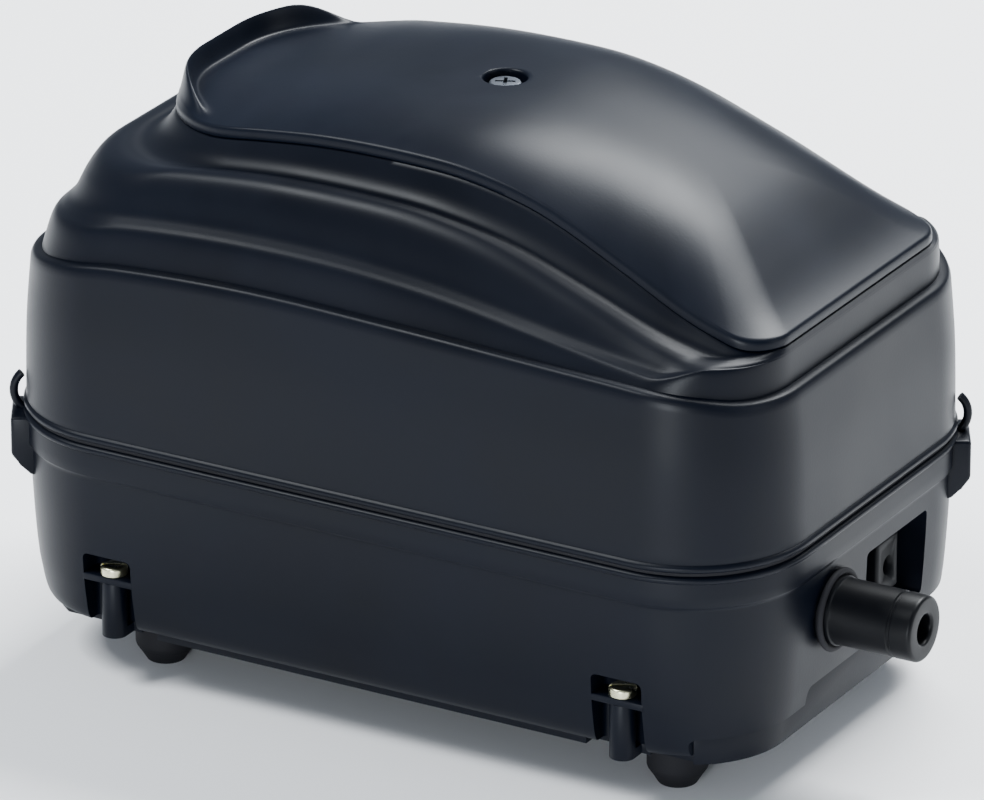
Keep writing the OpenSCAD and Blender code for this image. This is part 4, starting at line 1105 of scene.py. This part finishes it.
class PUMP_OT_laminations(bpy.types.Operator):
    """The two E cores as stacks of sheet-steel laminations"""
    bl_idname = "pump.laminations"
    bl_label = "Core laminations"

    def execute(self, context):
        steel = finish_of("core_steel")
        for node in ("core_front", "core_back"):
            lo, hi = box_mm(node)
            side = 1 if node == "core_back" else -1
            near = min(abs(lo.y), abs(hi.y))
            mid = (lo.x + hi.x) / 2
            half = [(LEG_HALF, near), (LEG_HALF, near + SLOT_D), (LEG_HALF + SLOT_W, near + SLOT_D),
                    (LEG_HALF + SLOT_W, near), (hi.x - mid, near), (hi.x - mid, near + CORE_D)]
            outline = [(mid + x, y) for x, y in half] + [(mid - x, y) for x, y in reversed(half)]
            pitch = (hi.z - lo.z) / SHEETS
            bm = bmesh.new()
            face = bm.faces.new([bm.verts.new((x, side * y, 0)) for x, y in outline])
            made = bmesh.ops.extrude_face_region(bm, geom=[face])
            up = [v for v in made["geom"] if isinstance(v, bmesh.types.BMVert)]
            bmesh.ops.translate(bm, vec=(0, 0, pitch * 0.9), verts=up)
            stack = mesh_object(f"{node}_stack", bm, steel)
            repeat(stack, "PieceRow", Count=SHEETS, Start=(0, 0, lo.z * MM), Step=(0, 0, pitch * MM),
                   Material=steel)
            settle(stack, "case", "core_steel", node)
        return {"FINISHED"}


class PUMP_OT_windings(bpy.types.Operator):
    """The two coils, each a row of wire turns over its pack"""
    bl_idname = "pump.windings"
    bl_label = "Coil windings"
    wire: FloatProperty(name="Wire", description="Diameter of the wire with its enamel",
                        default=1.0 * MM, unit="LENGTH")

    def execute(self, context):
        wire, r = self.wire / MM, COIL_R
        copper = finish_of("copper_coil")
        for node in ("coil_front", "coil_back"):
            lo, hi = box_mm(node)
            x, z = (lo.x + hi.x) / 2, (lo.z + hi.z) / 2
            half_x, half_z = (hi.x - lo.x) / 2 - wire / 2, (hi.z - lo.z) / 2 - wire / 2
            path, rings = [], []
            for cx, cz, a in ((half_x - r, half_z - r, 0), (r - half_x, half_z - r, 90),
                              (r - half_x, r - half_z, 180), (half_x - r, r - half_z, 270)):
                path += arc(cx, cz, r, a, a + 90, 6)
            for i, (px, pz) in enumerate(path):
                nx, nz = Vector(path[(i + 1) % len(path)]) - Vector(path[i - 1])
                out = Vector((nz, 0, -nx)).normalized()
                rings.append([(x + px + out.x * wire / 2 * math.cos(t), wire / 2 * math.sin(t),
                               z + pz + out.z * wire / 2 * math.cos(t))
                              for t in (math.tau * k / 8 for k in range(8))])
            bm = bmesh.new()
            ring_solid(bm, rings, closed=True)
            turns = mesh_object(f"{node}_turns", bm, copper, sharp=60)
            count = int((hi.y - lo.y) / wire)
            repeat(turns, "PieceRow", Count=count, Start=(0, (lo.y + wire / 2) * MM, 0), Step=(0, wire * MM, 0),
                   Material=copper)
            settle(turns, "case", "copper_coil")
            pack = refined(node, copper, 0.0)
            # the pack is drawn in under the turns
            pack.data.transform(Matrix.Translation((x * MM, 0, z * MM)) @ Matrix.Diagonal((0.955, 1, 0.965, 1))
                                @ Matrix.Translation((-x * MM, 0, -z * MM)))
            settle(pack, "case", "copper_coil", node)
        return {"FINISHED"}


def refined(node, material, width=0.35):
    """Merged copy of a CAD node with flat faces joined and small rounded edges."""
    bm = bmesh.new()
    bm.from_mesh(frame["nodes"][node].data)
    bmesh.ops.scale(bm, vec=(1 / MM,) * 3, verts=bm.verts)
    bmesh.ops.remove_doubles(bm, verts=bm.verts, dist=0.005)
    bmesh.ops.dissolve_limit(bm, angle_limit=math.radians(1.0), verts=bm.verts, edges=bm.edges)
    piece = mesh_object(f"{node}_finished", bm, material, sharp=35)
    if width:
        bevel(piece, width * MM, 2, 40)
        baked(piece)
        smooth(piece, 35)
    return piece


# width of the rounded edges on the CAD nodes that are kept in shape
MACHINED = {"base_plate": 0.5, "chassis_frame": 0.3, "pump_head_left": 0.6, "pump_head_right": 0.6,
            "head_cover_left": 0.6, "head_cover_right": 0.6, "air_tank": 0.6, "tank_lid": 0.6,
            "filter_tray": 0.4, "terminal_block": 0.6, "bobbin_front": 0.25, "bobbin_back": 0.25,
            "armature_carrier": 0.4}


class PUMP_OT_inner_pieces(bpy.types.Operator):
    """Rounded edges on the moulded and bent inner pieces, and a finish on every piece that stays as it is"""
    bl_idname = "pump.inner_pieces"
    bl_label = "Inner pieces"

    def execute(self, context):
        slots = {row["node"]: row["material_slot"] for row in frame["record"]["subparts"]}
        bodies = {n: b for b, names in frame["record"]["behaviour"]["bodies"].items() for n in names}
        for node, width in MACHINED.items():
            settle(refined(node, finish_of(slots[node]), width), bodies[node], slots[node], node)
        for node, obj in frame["nodes"].items():
            if not obj.hide_render:
                if not obj.material_slots:
                    obj.data.materials.append(None)
                for place in obj.material_slots:
                    place.material = finish_of(slots[node])
        return {"FINISHED"}


class PUMP_OT_filter_foam(bpy.types.Operator):
    """Filter element: a cut block of open-cell foam with soft edges and an uneven skin"""
    bl_idname = "pump.filter_foam"
    bl_label = "Filter foam"
    skin: FloatProperty(name="Skin", description="Depth of the uneven skin", default=0.35 * MM, unit="LENGTH")

    def execute(self, context):
        lo, hi = FOAM
        foam = finish_of("foam")
        depth = self.skin / MM
        piece = block("filter_foam", lo.x + depth, hi.x - depth, lo.y + depth, hi.y - depth,
                      lo.z + depth, hi.z - depth, foam, 1.6, 3)
        cut(piece, lathe("foam_tool", rod(5.2, lo.z - 3, hi.z + 3), (SCREW_X, 0, 0), foam, steps=40))
        mod = piece.modifiers.new("Remesh", "REMESH")
        mod.mode = "VOXEL"
        mod.voxel_size = 1.1 * MM
        baked(piece)
        for v in piece.data.vertices:
            v.co += v.normal * noise.noise(v.co / MM * 0.45) * depth * MM
        piece.data.materials.clear()
        piece.data.materials.append(foam)
        smooth(piece, 180)
        settle(piece, "filter_element", "foam", "filter_element")
        return {"FINISHED"}


# ---------------------------------------------------------------- operator: the studio
LIGHT_AIM = 0.09                # height the lights aim at, in metres
LENS = (36.0, 365.9)            # sensor width and focal length, in millimetres
SHIFT = (0.00066, 0.0033)       # shift of the camera's target to the right and up, in metres


class PUMP_OT_stage(bpy.types.Operator):
    """Pale floor, soft lights and the camera"""
    bl_idname = "pump.stage"
    bl_label = "Studio"
    turn: FloatProperty(name="Turn", description="Camera's turn round the pump", default=math.radians(29.87),
                        unit="ROTATION")
    rise: FloatProperty(name="Rise", description="Camera's height angle", default=math.radians(22.97),
                        unit="ROTATION")
    distance: FloatProperty(name="Distance", description="Camera's distance", default=2.68, unit="LENGTH")

    def execute(self, context):
        scene = context.scene
        bpy.ops.mesh.primitive_plane_add(size=14, location=(0, 0, 0))
        floor = context.object
        floor.name = "studio_floor"
        floor.data.materials.append(floor_material(tuple(scene.pump_colours.floor)))
        world = bpy.data.worlds.new("Studio")
        world.use_nodes = True
        world.node_tree.nodes["Background"].inputs["Color"].default_value = (0.78, 0.87, 1.0, 1)
        world.node_tree.nodes["Background"].inputs["Strength"].default_value = 0.40
        scene.world = world
        self.light("top_back_softbox", (0.10, 0.85, 1.35), (0.9, 0.7), 75, (0.95, 0.98, 1.0))
        self.light("front_strip", (0.28, -1.5, 0.17), (0.2, 0.3), 18, (0.90, 0.95, 1.0))
        self.light("top_front_fill", (-0.75, -0.65, 1.45), (0.6, 0.6), 34, (0.93, 0.97, 1.0))
        self.light("right_fill", (1.8, 0.1, 0.7), (0.4, 0.9), 5, (0.90, 0.95, 1.0))
        self.camera(scene)
        return {"FINISHED"}

    def light(self, name, place, size, power, colour):
        """One soft rectangular light, aimed at the middle of the pump."""
        data = bpy.data.lights.new(name, "AREA")
        data.shape, data.size, data.size_y = "RECTANGLE", *size
        data.energy, data.color = power, colour
        lamp = bpy.data.objects.new(name, data)
        lamp.location = place
        aim = Vector((CASE_X * MM, 0, LIGHT_AIM)) - Vector(place)
        lamp.rotation_euler = aim.to_track_quat("-Z", "Y").to_euler()
        bpy.context.scene.collection.objects.link(lamp)

    def camera(self, scene):
        """Long lens from the front right, aimed at the waist."""
        a, e = self.turn, self.rise
        back = Vector((math.sin(a) * math.cos(e), -math.cos(a) * math.cos(e), math.sin(e)))
        right = Vector((math.cos(a), math.sin(a), 0))
        up = back.cross(right)
        data = bpy.data.cameras.new("camera")
        data.sensor_width, data.lens = LENS
        data.clip_end = 50
        cam = bpy.data.objects.new("camera", data)
        target = Vector((CASE_X * MM, 0, PART_Z * MM)) + right * SHIFT[0] + up * SHIFT[1]
        cam.matrix_world = (Matrix.Translation(target + back * self.distance)
                            @ Matrix((right, up, back)).transposed().to_4x4())
        scene.collection.objects.link(cam)
        scene.camera = cam


# ---------------------------------------------------------------- panel and main
STEPS = (PUMP_OT_hood, PUMP_OT_filter_cover, PUMP_OT_lower_housing, PUMP_OT_corner_eyes, PUMP_OT_outlet,
         PUMP_OT_hardware, PUMP_OT_recess_ribs, PUMP_OT_laminations, PUMP_OT_windings, PUMP_OT_filter_foam,
         PUMP_OT_inner_pieces, PUMP_OT_stage)


class PUMP_PT_panel(bpy.types.Panel):
    """Sizes, colours and the pump's operators, in the order they run"""
    bl_idname = "PUMP_PT_panel"
    bl_label = "Air pump"
    bl_space_type = "VIEW_3D"
    bl_region_type = "UI"
    bl_category = "Air pump"

    def draw(self, context):
        for settings in (context.scene.pump_sizes, context.scene.pump_colours):
            for name in settings.bl_rna.properties.keys():
                if name not in ("rna_type", "name"):
                    self.layout.prop(settings, name)
        for step in STEPS:
            self.layout.operator(step.bl_idname)


CLASSES = (PumpSizes, PumpColours, *STEPS, PUMP_PT_panel)


def register():
    for item in CLASSES:
        bpy.utils.register_class(item)
    bpy.types.Scene.pump_sizes = PointerProperty(type=PumpSizes)
    bpy.types.Scene.pump_colours = PointerProperty(type=PumpColours)


def unregister():
    del bpy.types.Scene.pump_colours
    del bpy.types.Scene.pump_sizes
    for item in reversed(CLASSES):
        bpy.utils.unregister_class(item)


def main():
    register()
    STATE["materials"] = make_materials(bpy.context.scene.pump_colours)
    grid_tree()
    row_tree()
    for step in STEPS:
        group, name = step.bl_idname.split(".")
        getattr(getattr(bpy.ops, group), name)()
    bpy.context.view_layer.update()


if __name__ == "__main__":
    main()
